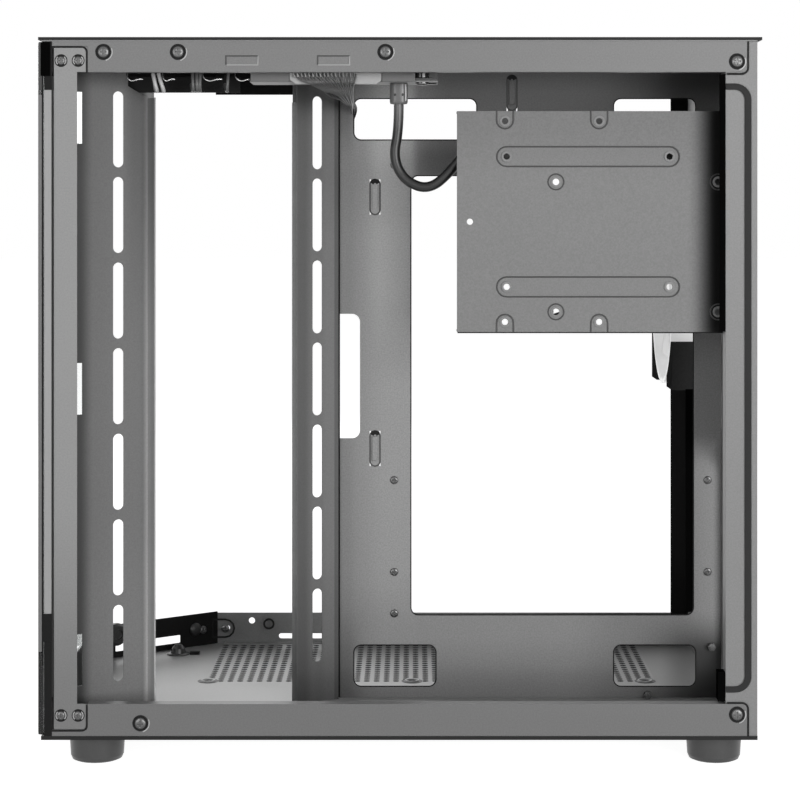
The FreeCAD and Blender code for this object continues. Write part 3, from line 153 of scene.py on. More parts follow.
makeCamera()
makeWorld()
makeStage()
for lampName in ("key", "fill", "far"):
    makeLamp(lampName)
bpy.context.scene.view_settings.view_transform = "Standard"
print("studio ready")


# Shared shader groups

def newGroup(name, inputs, outputs):
    group = bpy.data.node_groups.new(name, "ShaderNodeTree")
    for label, kind, value in inputs:
        socket = group.interface.new_socket(name=label, in_out="INPUT", socket_type=kind)
        socket.default_value = value
    for label, kind in outputs:
        group.interface.new_socket(name=label, in_out="OUTPUT", socket_type=kind)
    return group, group.nodes.new("NodeGroupInput"), group.nodes.new("NodeGroupOutput")


def mathNode(tree, operation, first, second):
    node = tree.nodes.new("ShaderNodeMath")
    node.operation = operation
    for socket, value in zip(node.inputs, (first, second)):
        if hasattr(value, "links"):
            tree.links.new(value, socket)
        else:
            socket.default_value = value
    return node.outputs[0]


def makeGrainGroup():
    # Powder coat: a fine grain with soft, larger changes of tone
    inputs = [("Color", "NodeSocketColor", (0.2, 0.2, 0.2, 1)), ("Grain Size", "NodeSocketFloat", 900.0),
              ("Grain Contrast", "NodeSocketFloat", 0.25), ("Cloud Contrast", "NodeSocketFloat", 0.08),
              ("Roughness", "NodeSocketFloat", 0.5)]
    outputs = [("Color", "NodeSocketColor"), ("Roughness", "NodeSocketFloat"), ("Height", "NodeSocketFloat")]
    group, source, sink = newGroup("powderGrain", inputs, outputs)
    place = group.nodes.new("ShaderNodeTexCoord").outputs["Object"]
    grain = group.nodes.new("ShaderNodeTexNoise")
    grain.inputs["Detail"].default_value = 2.0
    group.links.new(place, grain.inputs["Vector"])
    group.links.new(source.outputs["Grain Size"], grain.inputs["Scale"])
    cloud = group.nodes.new("ShaderNodeTexNoise")
    cloud.inputs["Scale"].default_value = 14.0
    cloud.inputs["Detail"].default_value = 3.0
    group.links.new(place, cloud.inputs["Vector"])
    grainTone = mathNode(group, "MULTIPLY", mathNode(group, "SUBTRACT", grain.outputs["Fac"], 0.5),
                         source.outputs["Grain Contrast"])
    cloudTone = mathNode(group, "MULTIPLY", mathNode(group, "SUBTRACT", cloud.outputs["Fac"], 0.5),
                         source.outputs["Cloud Contrast"])
    tone = mathNode(group, "ADD", mathNode(group, "ADD", grainTone, cloudTone), 1.0)
    scaled = group.nodes.new("ShaderNodeVectorMath")
    scaled.operation = "SCALE"
    group.links.new(source.outputs["Color"], scaled.inputs[0])
    group.links.new(tone, scaled.inputs["Scale"])
    group.links.new(scaled.outputs[0], sink.inputs["Color"])
    rough = mathNode(group, "ADD", source.outputs["Roughness"], cloudTone)
    group.links.new(rough, sink.inputs["Roughness"])
    group.links.new(grain.outputs["Fac"], sink.inputs["Height"])
    return group


def makeEdgeGroup():
    # A mask that is white along sharp edges, where the finishes paint a highlight, with a soft edge normal for
    # the light to catch
    inputs = [("Edge Width", "NodeSocketFloat", 0.0005), ("Edge Gain", "NodeSocketFloat", 2.5)]
    outputs = [("Mask", "NodeSocketFloat"), ("Normal", "NodeSocketVector")]
    group, source, sink = newGroup("softEdge", inputs, outputs)
    bevel = group.nodes.new("ShaderNodeBevel")
    bevel.samples = 4
    group.links.new(source.outputs["Edge Width"], bevel.inputs["Radius"])
    plain = group.nodes.new("ShaderNodeNewGeometry")
    dot = group.nodes.new("ShaderNodeVectorMath")
    dot.operation = "DOT_PRODUCT"
    group.links.new(bevel.outputs["Normal"], dot.inputs[0])
    group.links.new(plain.outputs["True Normal"], dot.inputs[1])
    away = mathNode(group, "SUBTRACT", 1.0, dot.outputs["Value"])
    mask = mathNode(group, "MULTIPLY", away, source.outputs["Edge Gain"])
    clamp = group.nodes.new("ShaderNodeClamp")
    group.links.new(mask, clamp.inputs["Value"])
    group.links.new(clamp.outputs["Result"], sink.inputs["Mask"])
    group.links.new(bevel.outputs["Normal"], sink.inputs["Normal"])
    return group


def makeCornerShade():
    # Paints shade into a colour towards one side in X and one height in Z, as a deep corner looks; a negative
    # depth paints light instead
    inputs = [("Color", "NodeSocketColor", (0.2, 0.2, 0.2, 1)), ("Start X", "NodeSocketFloat", 0.0),
              ("End X", "NodeSocketFloat", 0.1), ("Start Z", "NodeSocketFloat", 0.0),
              ("End Z", "NodeSocketFloat", 0.1), ("Depth", "NodeSocketFloat", 0.8)]
    group, source, sink = newGroup("cornerShade", inputs, [("Color", "NodeSocketColor")])
    place = group.nodes.new("ShaderNodeSeparateXYZ")
    group.links.new(group.nodes.new("ShaderNodeTexCoord").outputs["Object"], place.inputs[0])
    masks = []
    for axis in "XZ":
        ramp = group.nodes.new("ShaderNodeMapRange")
        ramp.interpolation_type = "SMOOTHSTEP"
        group.links.new(place.outputs[axis], ramp.inputs["Value"])
        group.links.new(source.outputs["Start " + axis], ramp.inputs["From Min"])
        group.links.new(source.outputs["End " + axis], ramp.inputs["From Max"])
        masks.append(ramp.outputs["Result"])
    mask = mathNode(group, "MULTIPLY", mathNode(group, "MULTIPLY", *masks), source.outputs["Depth"])
    scaled = group.nodes.new("ShaderNodeVectorMath")
    scaled.operation = "SCALE"
    group.links.new(source.outputs["Color"], scaled.inputs[0])
    group.links.new(mathNode(group, "SUBTRACT", 1.0, mask), scaled.inputs["Scale"])
    group.links.new(scaled.outputs[0], sink.inputs["Color"])
    return group


grainGroup = makeGrainGroup()
edgeGroup = makeEdgeGroup()
shadeGroup = makeCornerShade()


def newMaterial(name, roughness=0.5, metallic=0.0, specular=0.5):
    material = bpy.data.materials.new(name)
    material.use_nodes = True
    shader = material.node_tree.nodes["Principled BSDF"]
    shader.inputs["Roughness"].default_value = roughness
    shader.inputs["Metallic"].default_value = metallic
    shader.inputs["Specular IOR Level"].default_value = specular
    return material, material.node_tree, shader


def groupNode(tree, group, **values):
    node = tree.nodes.new("ShaderNodeGroup")
    node.node_tree = group
    for name, value in values.items():
        node.inputs[name.replace("_", " ")].default_value = value
    return node


def coated(name, tone, roughness, grainSize, grainContrast, cloud, bump, paintedEdgeHighlight, metallic=0.0,
           specular=0.5, shades=()):
    # One finish of fine grain and soft clouding, with a painted highlight along edges, which also catch the
    # light through a soft edge normal, and the painted shade and light of its shade list
    material, tree, shader = newMaterial(name, roughness, metallic, specular)
    grain = groupNode(tree, grainGroup, Color=(*tone, 1), Grain_Size=grainSize,
                      Grain_Contrast=grainContrast, Cloud_Contrast=cloud, Roughness=roughness)
    edge = groupNode(tree, edgeGroup)
    edgeHighlightMix = tree.nodes.new("ShaderNodeMix")
    edgeHighlightMix.data_type = "RGBA"
    edgeHighlightTone = tuple(min(1.0, channel * paintedEdgeHighlight + 0.01) for channel in tone)
    edgeHighlightMix.inputs["B"].default_value = (*edgeHighlightTone, 1)
    tree.links.new(edge.outputs["Mask"], edgeHighlightMix.inputs["Factor"])
    tree.links.new(grain.outputs["Color"], edgeHighlightMix.inputs["A"])
    color = edgeHighlightMix.outputs["Result"]
    for startX, endX, startZ, endZ, depth in shades:
        shade = groupNode(tree, shadeGroup, Start_X=mm(startX), End_X=mm(endX), Start_Z=mm(startZ),
                          End_Z=mm(endZ), Depth=depth)
        tree.links.new(color, shade.inputs["Color"])
        color = shade.outputs["Color"]
    tree.links.new(color, shader.inputs["Base Color"])
    tree.links.new(grain.outputs["Roughness"], shader.inputs["Roughness"])
    relief = tree.nodes.new("ShaderNodeBump")
    relief.inputs["Strength"].default_value = bump
    relief.inputs["Distance"].default_value = 0.0001
    tree.links.new(grain.outputs["Height"], relief.inputs["Height"])
    tree.links.new(edge.outputs["Normal"], relief.inputs["Normal"])
    tree.links.new(relief.outputs["Normal"], shader.inputs["Normal"])
    return material


def grey(value):
    return (value, value, value)


def glassMaterial():
    material, tree, shader = newMaterial("clearPane", 0.02)
    shader.inputs["Transmission Weight"].default_value = 1.0
    shader.inputs["IOR"].default_value = 1.45
    # Faint smears change the gloss a little
    noise = tree.nodes.new("ShaderNodeTexNoise")
    noise.inputs["Scale"].default_value = 9.0
    noise.inputs["Detail"].default_value = 4.0
    spread = tree.nodes.new("ShaderNodeMapRange")
    spread.inputs["To Min"].default_value = 0.01
    spread.inputs["To Max"].default_value = 0.05
    tree.links.new(tree.nodes.new("ShaderNodeTexCoord").outputs["Object"], noise.inputs["Vector"])
    tree.links.new(noise.outputs["Fac"], spread.inputs["Value"])
    tree.links.new(spread.outputs["Result"], shader.inputs["Roughness"])
    shader.inputs["Base Color"].default_value = (0.93, 0.96, 0.955, 1)
    return material


# Painted shade on the paint where it lies in deep shade, and painted highlight where the depth is negative: X
# and Z from light to dark, and how much
everywhere = (-900, -800)
trayShades = [(140, 190, 76, 46, 0.97), (120, 196, 384, 404, 0.80), (*everywhere, 60, 30, 0.30),
              (-30, -12, 225, 278, -0.42), (5, 12, 225, 278, 0.30), (-27, -34, *everywhere, 0.14),
              (-27, -34, 350, 385, 0.42), (-20, -34, 80, 45, 0.30), (12, 5, 100, 60, 0.20),
              (0, 34, 338, 350, 0.45), (-34, -8, *everywhere, -0.34), (5, 12, *everywhere, 0.22)]
plateShades = [(167, 185, *everywhere, 0.99), (*everywhere, 335, 380, 0.14)]
postShades = [(*everywhere, 160, 40, 0.35)]
frontStripShades = [(-181, -189, *everywhere, 0.86), (-154.2, -150.5, *everywhere, -2.3),
                    (-150, -147.5, *everywhere, 0.22), (*everywhere, 200, 400, 0.20),
                    (-166, -158, 230, 400, 0.38), (*everywhere, 150, 80, -0.12)]
rearStripShades = [(-54, -60, *everywhere, 0.48), (-63, -66.5, *everywhere, -1.9),
                   (*everywhere, 375, 398, 0.25), (*everywhere, 60, 30, 0.30),
                   (-50, -46, *everywhere, -0.20), (-42, -41, *everywhere, 0.5),
                   (*everywhere, 130, 30, 0.30)]
cableShades = [(*everywhere, 386, 366, 0.88)]

# Frame, tray, plate, strip, stripRear, railLow, railHigh, post and floor are one powder coat; their different
# tones are painted light and shade for where each part stands
finishes = {
    "frame": coated("framePowder", grey(0.215), 0.46, 1100, 0.40, 0.10, 0.35, 1.5),
    "edgeStrip": coated("edgeStripPowder", grey(0.350), 0.40, 1100, 0.2, 0.10, 0.2, 1.2),
    # coverEdge, groove, bead, press and deep are dark finishes of painted shade, and glint is a painted
    # highlight
    "coverEdge": coated("coverEdgeShadePowder", grey(0.024), 0.55, 1100, 0.3, 0.10, 0.2, 1.0, specular=0.12),
    "fanBlack": coated("fanBlackMoulding", grey(0.030), 0.6, 600, 0.4, 0.2, 0.2, 1.3, specular=0.0),
    "groove": coated("grooveShade", grey(0.014), 0.7, 1100, 0.3, 0.1, 0.1, 1.0, specular=0.15),
    "bead": coated("beadShade", grey(0.030), 0.6, 1100, 0.3, 0.1, 0.1, 1.0, specular=0.12),
    "glint": coated("glintLine", grey(0.50), 0.35, 1100, 0.1, 0.1, 0.1, 1.0),
    "tray": coated("trayPowder", grey(0.215), 0.50, 1100, 0.65, 0.12, 0.45, 1.5, shades=trayShades),
    "plate": coated("platePowder", grey(0.252), 0.46, 1100, 0.40, 0.10, 0.35, 1.5, specular=0.1,
                    shades=plateShades),
    "strip": coated("stripPowder", grey(0.160), 0.50, 1100, 0.45, 0.12, 0.35, 1.9, specular=0.3,
                    shades=frontStripShades),
    "stripRear": coated("stripRearPowder", grey(0.122), 0.50, 1100, 0.45, 0.12, 0.35, 1.9,
                        shades=rearStripShades),
    "railLow": coated("railLowPowder", grey(0.152), 0.46, 1100, 0.40, 0.10, 0.35, 1.7),
    "railHigh": coated("railHighPowder", grey(0.182), 0.46, 1100, 0.40, 0.10, 0.35, 1.6),
    "post": coated("postPowder", grey(0.290), 0.46, 1100, 0.35, 0.10, 0.3, 1.4, shades=postShades),
    "floor": coated("floorPowder", grey(0.305), 0.42, 1100, 0.30, 0.08, 0.2, 1.3),
    "glassEdge": coated("glassEdgeGrey", grey(0.145), 0.46, 1100, 0.3, 0.10, 0.2, 1.2),
    "dark": coated("darkPowder", grey(0.009), 0.50, 1100, 0.5, 0.1, 0.3, 2.0, specular=0.10),
    "press": coated("pressedLineShade", grey(0.045), 0.5, 1100, 0.4, 0.1, 0.3, 1.5),
    "plastic": coated("blackMoulding", grey(0.018), 0.38, 600, 0.5, 0.2, 0.3, 2.2),
    "blade": coated("milkyBlade", grey(0.62), 0.25, 200, 0.05, 0.05, 0.05, 1.1),
    "foot": coated("footRubber", grey(0.054), 0.34, 500, 0.2, 0.1, 0.1, 1.5),
    "screw": coated("screwPlate", grey(0.115), 0.34, 900, 0.2, 0.1, 0.1, 2.4, metallic=1.0),
    "darkScrew": coated("screwBlack", grey(0.10), 0.32, 900, 0.2, 0.1, 0.1, 2.2, metallic=0.9),
    "shell": coated("socketPlate", grey(0.62), 0.25, 900, 0.1, 0.1, 0.1, 1.2, metallic=1.0),
    "board": coated("boardMask", grey(0.035), 0.40, 700, 0.5, 0.4, 0.3, 1.4),
    "pale": coated("paleHousing", grey(0.40), 0.45, 500, 0.1, 0.1, 0.1, 1.15),
    "cable": coated("cableJacket", grey(0.110), 0.30, 700, 0.3, 0.2, 0.2, 1.3, specular=0.40,
                    shades=cableShades),
    "deep": coated("deepShadePaint", grey(0.003), 0.9, 1100, 0.3, 0.1, 0.0, 1.0, specular=0.0),
    "bundle": coated("bundleJacket", grey(0.020), 0.4, 700, 0.3, 0.2, 0.2, 1.3, specular=0.3),
    "relief": coated("reliefMoulding", grey(0.120), 0.33, 600, 0.2, 0.2, 0.1, 1.6),
    "block": coated("socketBlock", grey(0.130), 0.42, 600, 0.2, 0.2, 0.1, 1.4),
    "wire": coated("wireJacket", grey(0.095), 0.35, 700, 0.2, 0.2, 0.1, 1.4),
    "paleWire": coated("paleWireJacket", grey(0.50), 0.4, 700, 0.1, 0.1, 0.1, 1.2),
    "border": coated("printedBorder", grey(0.008), 0.35, 500, 0.2, 0.1, 0.05, 1.3),
    "mesh": coated("filterMesh", grey(0.012), 0.8, 900, 0.6, 0.2, 0.4, 1.0, specular=0.1),
    "glass": glassMaterial(),
}
# Painted light: the blade finish glows in place of light passing through it
paintedBladeGlow = 0.32  # light that passes through the fan's blades
milky = finishes["blade"].node_tree.nodes["Principled BSDF"]
milky.inputs["Emission Color"].default_value = (1, 1, 1, 1)
milky.inputs["Emission Strength"].default_value = paintedBladeGlow
print("materials ready")

nodeFinish = {
    "front_glass": "glass", "rear_fan_impeller": "blade", "control_board": "board",
    "corner_magnet": "dark", "lower_corner_rail": "dark", "upper_corner_rail": "dark",
    "far_rear_post": "dark", "glass_block_low": "dark", "glass_block_high": "dark",
    "glass_edge_strip": "edgeStrip",
    "motherboard_tray": "tray", "bottom_dust_filter": "mesh", "fan_strip_front": "strip",
    "fan_strip_rear": "stripRear", "cable_relief": "relief", "upper_front_rail": "dark",
    "lower_front_rail": "dark", "lower_side_rail": "railLow", "upper_side_rail": "railHigh",
    "front_post": "post", "drive_plate": "plate", "rear_fan_frame": "fanBlack",
}
plasticNodes = ("corner_stud", "power_switch", "reset_switch", "power_button", "reset_button",
                "audio_jack", "cable_plug", "wires_plug")


def finishOf(name):
    if name in nodeFinish:
        return nodeFinish[name]
    if name in plasticNodes:
        return "plastic"
    if name.startswith("foot_"):
        return "foot"
    if "socket" in name:
        return "shell"
    if "screws" in name:
        return "screw"
    if name in ("usb_cable", "panel_wires"):
        return "cable"
    return "frame"


for nodeName, node in nodes.items():
    node.data.materials.clear()
    node.data.materials.append(finishes[finishOf(nodeName)])
print("finishes set on the carried-over parts")


# Mesh helpers

def addPiece(name, mesh, finish, body="case", replaced=(), slot="frame_paint"):
    piece = bpy.data.objects.new(name, mesh)
    bpy.context.scene.collection.objects.link(piece)
    if finish:
        mesh.materials.clear()
        mesh.materials.append(finishes[finish])
    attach(piece, body)
    for node in replaced:
        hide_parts(node)
    return piece


def meshFrom(work, name, smooth=False):
    mesh = bpy.data.meshes.new(name)
    bmesh.ops.recalc_face_normals(work, faces=work.faces)
    work.to_mesh(mesh)
    work.free()
    if smooth:
        mesh.shade_smooth()
    return mesh


def temporary(name, mesh):
    item = bpy.data.objects.new(name, mesh)
    bpy.context.scene.collection.objects.link(item)
    return item


def evaluatedMesh(item, name):
    bpy.context.view_layer.update()
    graph = bpy.context.evaluated_depsgraph_get()
    mesh = bpy.data.meshes.new_from_object(item.evaluated_get(graph))
    mesh.name = name
    return mesh


def drop(*items):
    for item in items:
        bpy.data.objects.remove(item)


def addBox(work, low, high, bevel=0.0):
    # A box between two corners in millimetres
    low = Vector(metres(*low))
    high = Vector(metres(*high))
    matrix = Matrix.Translation((low + high) / 2) @ Matrix.Diagonal((*(high - low), 1))
    made = bmesh.ops.create_cube(work, size=1.0, matrix=matrix)
    if bevel:
        edges = list(dict.fromkeys(edge for vertex in made["verts"] for edge in vertex.link_edges))
        bmesh.ops.bevel(work, geom=edges, offset=mm(bevel), segments=2, affect="EDGES", profile=0.5)


def lathe(name, profile, count, axis=(0, 0, 1)):
    # Turns a list of (radius, level) pairs in millimetres into a closed round shape
    work = bmesh.new()
    rings = []
    for radius, level in profile:
        if radius == 0:
            rings.append([work.verts.new(metres(0, 0, level))])
            continue
        ring = []
        for step in range(count):
            angle = 2 * math.pi * step / count
            ring.append(work.verts.new(metres(radius * math.cos(angle), radius * math.sin(angle), level)))
        rings.append(ring)
    for inner, outer in zip(rings, rings[1:]):
        for step in range(count):
            after = (step + 1) % count
            corners = [inner[step % len(inner)], inner[after % len(inner)],
                       outer[after % len(outer)], outer[step % len(outer)]]
            work.faces.new(list(dict.fromkeys(corners)))
    turn = Vector((0, 0, 1)).rotation_difference(Vector(axis)).to_matrix()
    bmesh.ops.rotate(work, verts=work.verts, cent=(0, 0, 0), matrix=turn)
    return meshFrom(work, name)


def prism(work, first, last):
    # A closed solid between two outlines with the same number of corners, in millimetres
    layers = [[work.verts.new(metres(*place)) for place in outline] for outline in (first, last)]
    work.faces.new(layers[0])
    work.faces.new(layers[1][::-1])
    for index in range(len(first)):
        after = (index + 1) % len(first)
        work.faces.new((layers[0][index], layers[1][index], layers[1][after], layers[0][after]))


def curveData(name, lines, thick, sides=3, kind="NURBS", closed=False, caps=True, detail=10):
    # Round lines through lists of control points in millimetres
    data = bpy.data.curves.new(name, "CURVE")
    data.dimensions = "3D"
    data.bevel_depth = mm(thick / 2)
    data.bevel_resolution = sides
    data.resolution_u = detail
    data.use_fill_caps = caps
    for line in lines:
        spline = data.splines.new(kind)
        spline.points.add(len(line) - 1)
        for point, place in zip(spline.points, line):
            point.co = (*metres(*place), 1)
        spline.use_cyclic_u = closed
        if kind == "NURBS":
            spline.order_u = 3
            spline.use_endpoint_u = True
    return data


def curveMesh(name, lines, thick, sides=3, **words):
    item = temporary(name, curveData(name, lines, thick, sides, **words))
    mesh = evaluatedMesh(item, name)
    drop(item)
    mesh.shade_smooth()
    return mesh


def boxPiece(name, boxes, finish, **words):
    # Boxes are (low corner, high corner) or (low corner, high corner, bevel)
    work = bmesh.new()
    for box in boxes:
        addBox(work, *box)
    return addPiece(name, meshFrom(work, name), finish, **words)


def turnedPiece(name, profile, count, axis, place, finish, **words):
    mesh = lathe(name, profile, count, axis)
    mesh.transform(Matrix.Translation(metres(*place)))
    return addPiece(name, mesh, finish, **words)


# Geometry Nodes: copies of one shape on points, and a perforated field of tiles

def socketIdentifier(tree, name):
    return next(item.identifier for item in tree.interface.items_tree
                if item.name == name and item.in_out == "INPUT")


def newTree(name, inputs):
    tree = bpy.data.node_groups.new(name, "GeometryNodeTree")
    for label, kind in inputs:
        tree.interface.new_socket(name=label, in_out="INPUT", socket_type="NodeSocket" + kind)
    tree.interface.new_socket(name="Geometry", in_out="OUTPUT", socket_type="NodeSocketGeometry")
    return tree, tree.nodes.new("NodeGroupInput").outputs, tree.nodes.new("NodeGroupOutput").inputs


def connect(tree, *pairs):
    for start, end in pairs:
        tree.links.new(start, end)


def makeCopiesTree():
    tree, source, sink = newTree("copiesOnPoints", [("Points", "Geometry"), ("Shape", "Object"),
                                                    ("Size", "Float"), ("Finish", "Material")])
    shape = tree.nodes.new("GeometryNodeObjectInfo")
    place = tree.nodes.new("GeometryNodeInstanceOnPoints")
    solid = tree.nodes.new("GeometryNodeRealizeInstances")
    finish = tree.nodes.new("GeometryNodeSetMaterial")
    connect(tree, (source["Points"], place.inputs["Points"]), (source["Shape"], shape.inputs["Object"]),
            (shape.outputs["Geometry"], place.inputs["Instance"]), (source["Size"], place.inputs["Scale"]),
            (place.outputs["Instances"], solid.inputs["Geometry"]),
            (solid.outputs["Geometry"], finish.inputs["Geometry"]),
            (source["Finish"], finish.inputs["Material"]), (finish.outputs["Geometry"], sink["Geometry"]))
    return tree


def makeFieldTree():
    tree, source, sink = newTree("perforatedField", [("Length", "Float"), ("Width", "Float"),
                                                     ("Columns", "Int"), ("Rows", "Int"),
                                                     ("Tile", "Object"), ("Finish", "Material")])
    grid = tree.nodes.new("GeometryNodeMeshGrid")
    tile = tree.nodes.new("GeometryNodeObjectInfo")
    place = tree.nodes.new("GeometryNodeInstanceOnPoints")
    solid = tree.nodes.new("GeometryNodeRealizeInstances")
    joined = tree.nodes.new("GeometryNodeMergeByDistance")
    joined.inputs["Distance"].default_value = mm(0.05)
    finish = tree.nodes.new("GeometryNodeSetMaterial")
    connect(tree, (source["Length"], grid.inputs["Size X"]), (source["Width"], grid.inputs["Size Y"]),
            (source["Columns"], grid.inputs["Vertices X"]), (source["Rows"], grid.inputs["Vertices Y"]),
            (grid.outputs["Mesh"], place.inputs["Points"]), (source["Tile"], tile.inputs["Object"]),
            (tile.outputs["Geometry"], place.inputs["Instance"]),
            (place.outputs["Instances"], solid.inputs["Geometry"]),
            (solid.outputs["Geometry"], joined.inputs["Geometry"]),
            (joined.outputs["Geometry"], finish.inputs["Geometry"]),
            (source["Finish"], finish.inputs["Material"]), (finish.outputs["Geometry"], sink["Geometry"]))
    return tree


copiesTree = makeCopiesTree()
fieldTree = makeFieldTree()


def runTree(tree, mesh, name, values):
    item = temporary(name, mesh)
    modifier = item.modifiers.new("nodes", "NODES")
    modifier.node_group = tree
    for label, value in values.items():
        modifier[socketIdentifier(tree, label)] = value
    item.update_tag()
    made = evaluatedMesh(item, name)
    drop(item)
    return made


def copiesAt(name, points, shape, finish, scale=1.0):
    mesh = bpy.data.meshes.new(name)
    mesh.from_pydata([metres(*point) for point in points], [], [])
    source = temporary(name + "Shape", shape)
    made = runTree(copiesTree, mesh, name, {"Shape": source, "Size": scale, "Finish": finishes[finish]})
    drop(source)
    return made


def copiesPiece(name, points, shape, finish, scale=1.0, **words):
    return addPiece(name, copiesAt(name, points, shape, finish, scale), finish, **words)


def holeTile(pitchX, pitchY, hole, thick):
    # One tile of a perforated sheet: a square of metal round an eight-sided hole
    work = bmesh.new()
    halfX = pitchX / 2
    halfY = pitchY / 2
    rim = [(halfX, 0), (halfX, halfY), (0, halfY), (-halfX, halfY),
           (-halfX, 0), (-halfX, -halfY), (0, -halfY), (halfX, -halfY)]
    layers = []
    for level in (0, -thick):
        outer = [work.verts.new(metres(x, y, level)) for x, y in rim]
        inner = []
        for x, y in rim:
            angle = math.atan2(y, x)
            inner.append(work.verts.new(metres(hole / 2 * math.cos(angle), hole / 2 * math.sin(angle), level)))
        layers.append((outer, inner))
    for index in range(8):
        after = (index + 1) % 8
        (topOuter, topInner), (lowOuter, lowInner) = layers
        work.faces.new((topInner[index], topOuter[index], topOuter[after], topInner[after]))
        work.faces.new((lowInner[after], lowOuter[after], lowOuter[index], lowInner[index]))
        work.faces.new((topInner[index], topInner[after], lowInner[after], lowInner[index]))
    mesh = bpy.data.meshes.new("holeTile")
    work.to_mesh(mesh)
    work.free()
    return mesh


# Floor and top cover with their fine perforations

sheetPlan = {
    "front": -207.6, "rear": 206.6, "side": 140.0, "cornerX": -131.0, "cornerY": 80.5, "thick": 0.8,
    "fieldFront": -126.4, "fieldNear": 7.0, "pitchX": 6.3, "pitchY": 6.1, "columns": 46, "rows": 20,
    "hole": 4.4, "coverReach": 209.3, "lipThick": 0.8,
}


def sheetWithField(name, front, rear, top, lipDeep, finish, replaced, cutouts):
    plan = sheetPlan
    side = plan["side"]
    outer = [(front, -side), (rear, -side), (rear, side), (plan["cornerX"], side), (front, plan["cornerY"])]
    long = plan["pitchX"] * plan["columns"]
    wide = plan["pitchY"] * plan["rows"]
    left = plan["fieldFront"]
    near = plan["fieldNear"]
    loops = [outer, [(left, near), (left + long, near), (left + long, near + wide), (left, near + wide)]]
    loops += cutouts
    work = bmesh.new()
    edges = []
    for loop in loops:
        ring = [work.verts.new(metres(x, y, top)) for x, y in loop]
        edges += [work.edges.new((ring[index], ring[(index + 1) % len(ring)])) for index in range(len(ring))]
    bmesh.ops.triangle_fill(work, use_beauty=True, use_dissolve=False, edges=edges)
    made = bmesh.ops.extrude_face_region(work, geom=list(work.faces))
    moved = [item for item in made["geom"] if isinstance(item, bmesh.types.BMVert)]
    bmesh.ops.translate(work, verts=moved, vec=metres(0, 0, -plan["thick"]))
    lip = plan["lipThick"]
    low = top - lipDeep
    high = top - plan["thick"]
    addBox(work, (front, -side, low), (rear, -side + lip, high))
    addBox(work, (plan["cornerX"], side - lip, low), (rear, side, high))
    addBox(work, (front, -side + lip, low), (front + lip, plan["cornerY"] - lip, high))
    addBox(work, (rear - lip, -side + lip, low), (rear, side - lip, high))
    slanted = [(front, plan["cornerY"]), (plan["cornerX"], side), (plan["cornerX"], side - lip * 1.3),
               (front, plan["cornerY"] - lip * 1.3)]
    prism(work, *[[(x, y, level) for x, y in slanted] for level in (low, high)])
    sheet = meshFrom(work, name)
    tile = temporary("tileShape", holeTile(plan["pitchX"], plan["pitchY"], plan["hole"], plan["thick"]))
    empty = bpy.data.meshes.new("fieldStart")
    field = runTree(fieldTree, empty, name + "Field", {
        "Length": mm(long - plan["pitchX"]), "Width": mm(wide - plan["pitchY"]),
        "Columns": plan["columns"], "Rows": plan["rows"], "Tile": tile, "Finish": finishes[finish]})
    drop(tile)
    field.transform(Matrix.Translation(metres(left + long / 2, near + wide / 2, top)))
    joined = bmesh.new()
    joined.from_mesh(sheet)
    joined.from_mesh(field)
    mesh = bpy.data.meshes.new(name)
    joined.to_mesh(mesh)
    joined.free()
    sheet = addPiece(name, mesh, finish, replaced=[replaced])
    mesh.materials.append(finishes["coverEdge"])
    mesh.materials.append(finishes["press"])
    # The near lip takes coverEdge, painted shade, and the walls of the field's holes take the dark
    # pressed-line finish, painted shade in the holes
    for face in mesh.polygons:
        x, y, _ = face.center
        if face.normal.y < -0.9 and y < mm(0.5 - side):
            face.material_index = 1
        elif abs(face.normal.z) < 0.5 and mm(left) < x < mm(left + long) and mm(near) < y < mm(near + wide):
            face.material_index = 2
    return sheet


def circleLoop(x, y, diameter, count=24):
    return [(x + diameter / 2 * math.cos(2 * math.pi * step / count),
             y + diameter / 2 * math.sin(2 * math.pi * step / count)) for step in range(count)]


def boxLoop(x, y, long, wide):
    return [(x - long / 2, y - wide / 2), (x + long / 2, y - wide / 2),
            (x + long / 2, y + wide / 2), (x - long / 2, y + wide / 2)]


controls = {"line": -110, "power": (-142, 14), "reset": (-120, 7), "jack": (13, 6.4),
            "usb": (-72, -46), "usbSize": (13.5, 6.1), "typeC": (-1, 9.4, 3.7)}


def controlCutouts():
    line = controls["line"]
    loops = [circleLoop(controls[name][0], line, controls[name][1]) for name in ("power", "reset", "jack")]
    loops += [boxLoop(place, line, *controls["usbSize"]) for place in controls["usb"]]
    place, long, wide = controls["typeC"]
    return loops + [boxLoop(place, line, long, wide)]


floorLevel = 19.3
coverLevel = 423.3
sheetWithField("floorSheet", sheetPlan["front"], sheetPlan["rear"], floorLevel, 2.3, "floor",
               "floor_panel", [])
sheetWithField("coverSheet", -sheetPlan["coverReach"], sheetPlan["coverReach"], coverLevel, 1.7, "frame",
               "top_cover", controlCutouts())
print("perforated sheets ready")


# Screws

screwSizes = {"head": 3.3, "tall": 1.6, "crossWide": 0.85, "crossReach": 2.0, "crossDeep": 1.1,
              "seat": 4.7, "seatTall": 0.25, "smallHead": 2.45 / 3.3, "smallSeat": 3.7 / 4.7,
              "traySize": 0.75, "cornerSize": 0.85, "glintWide": 0.6}


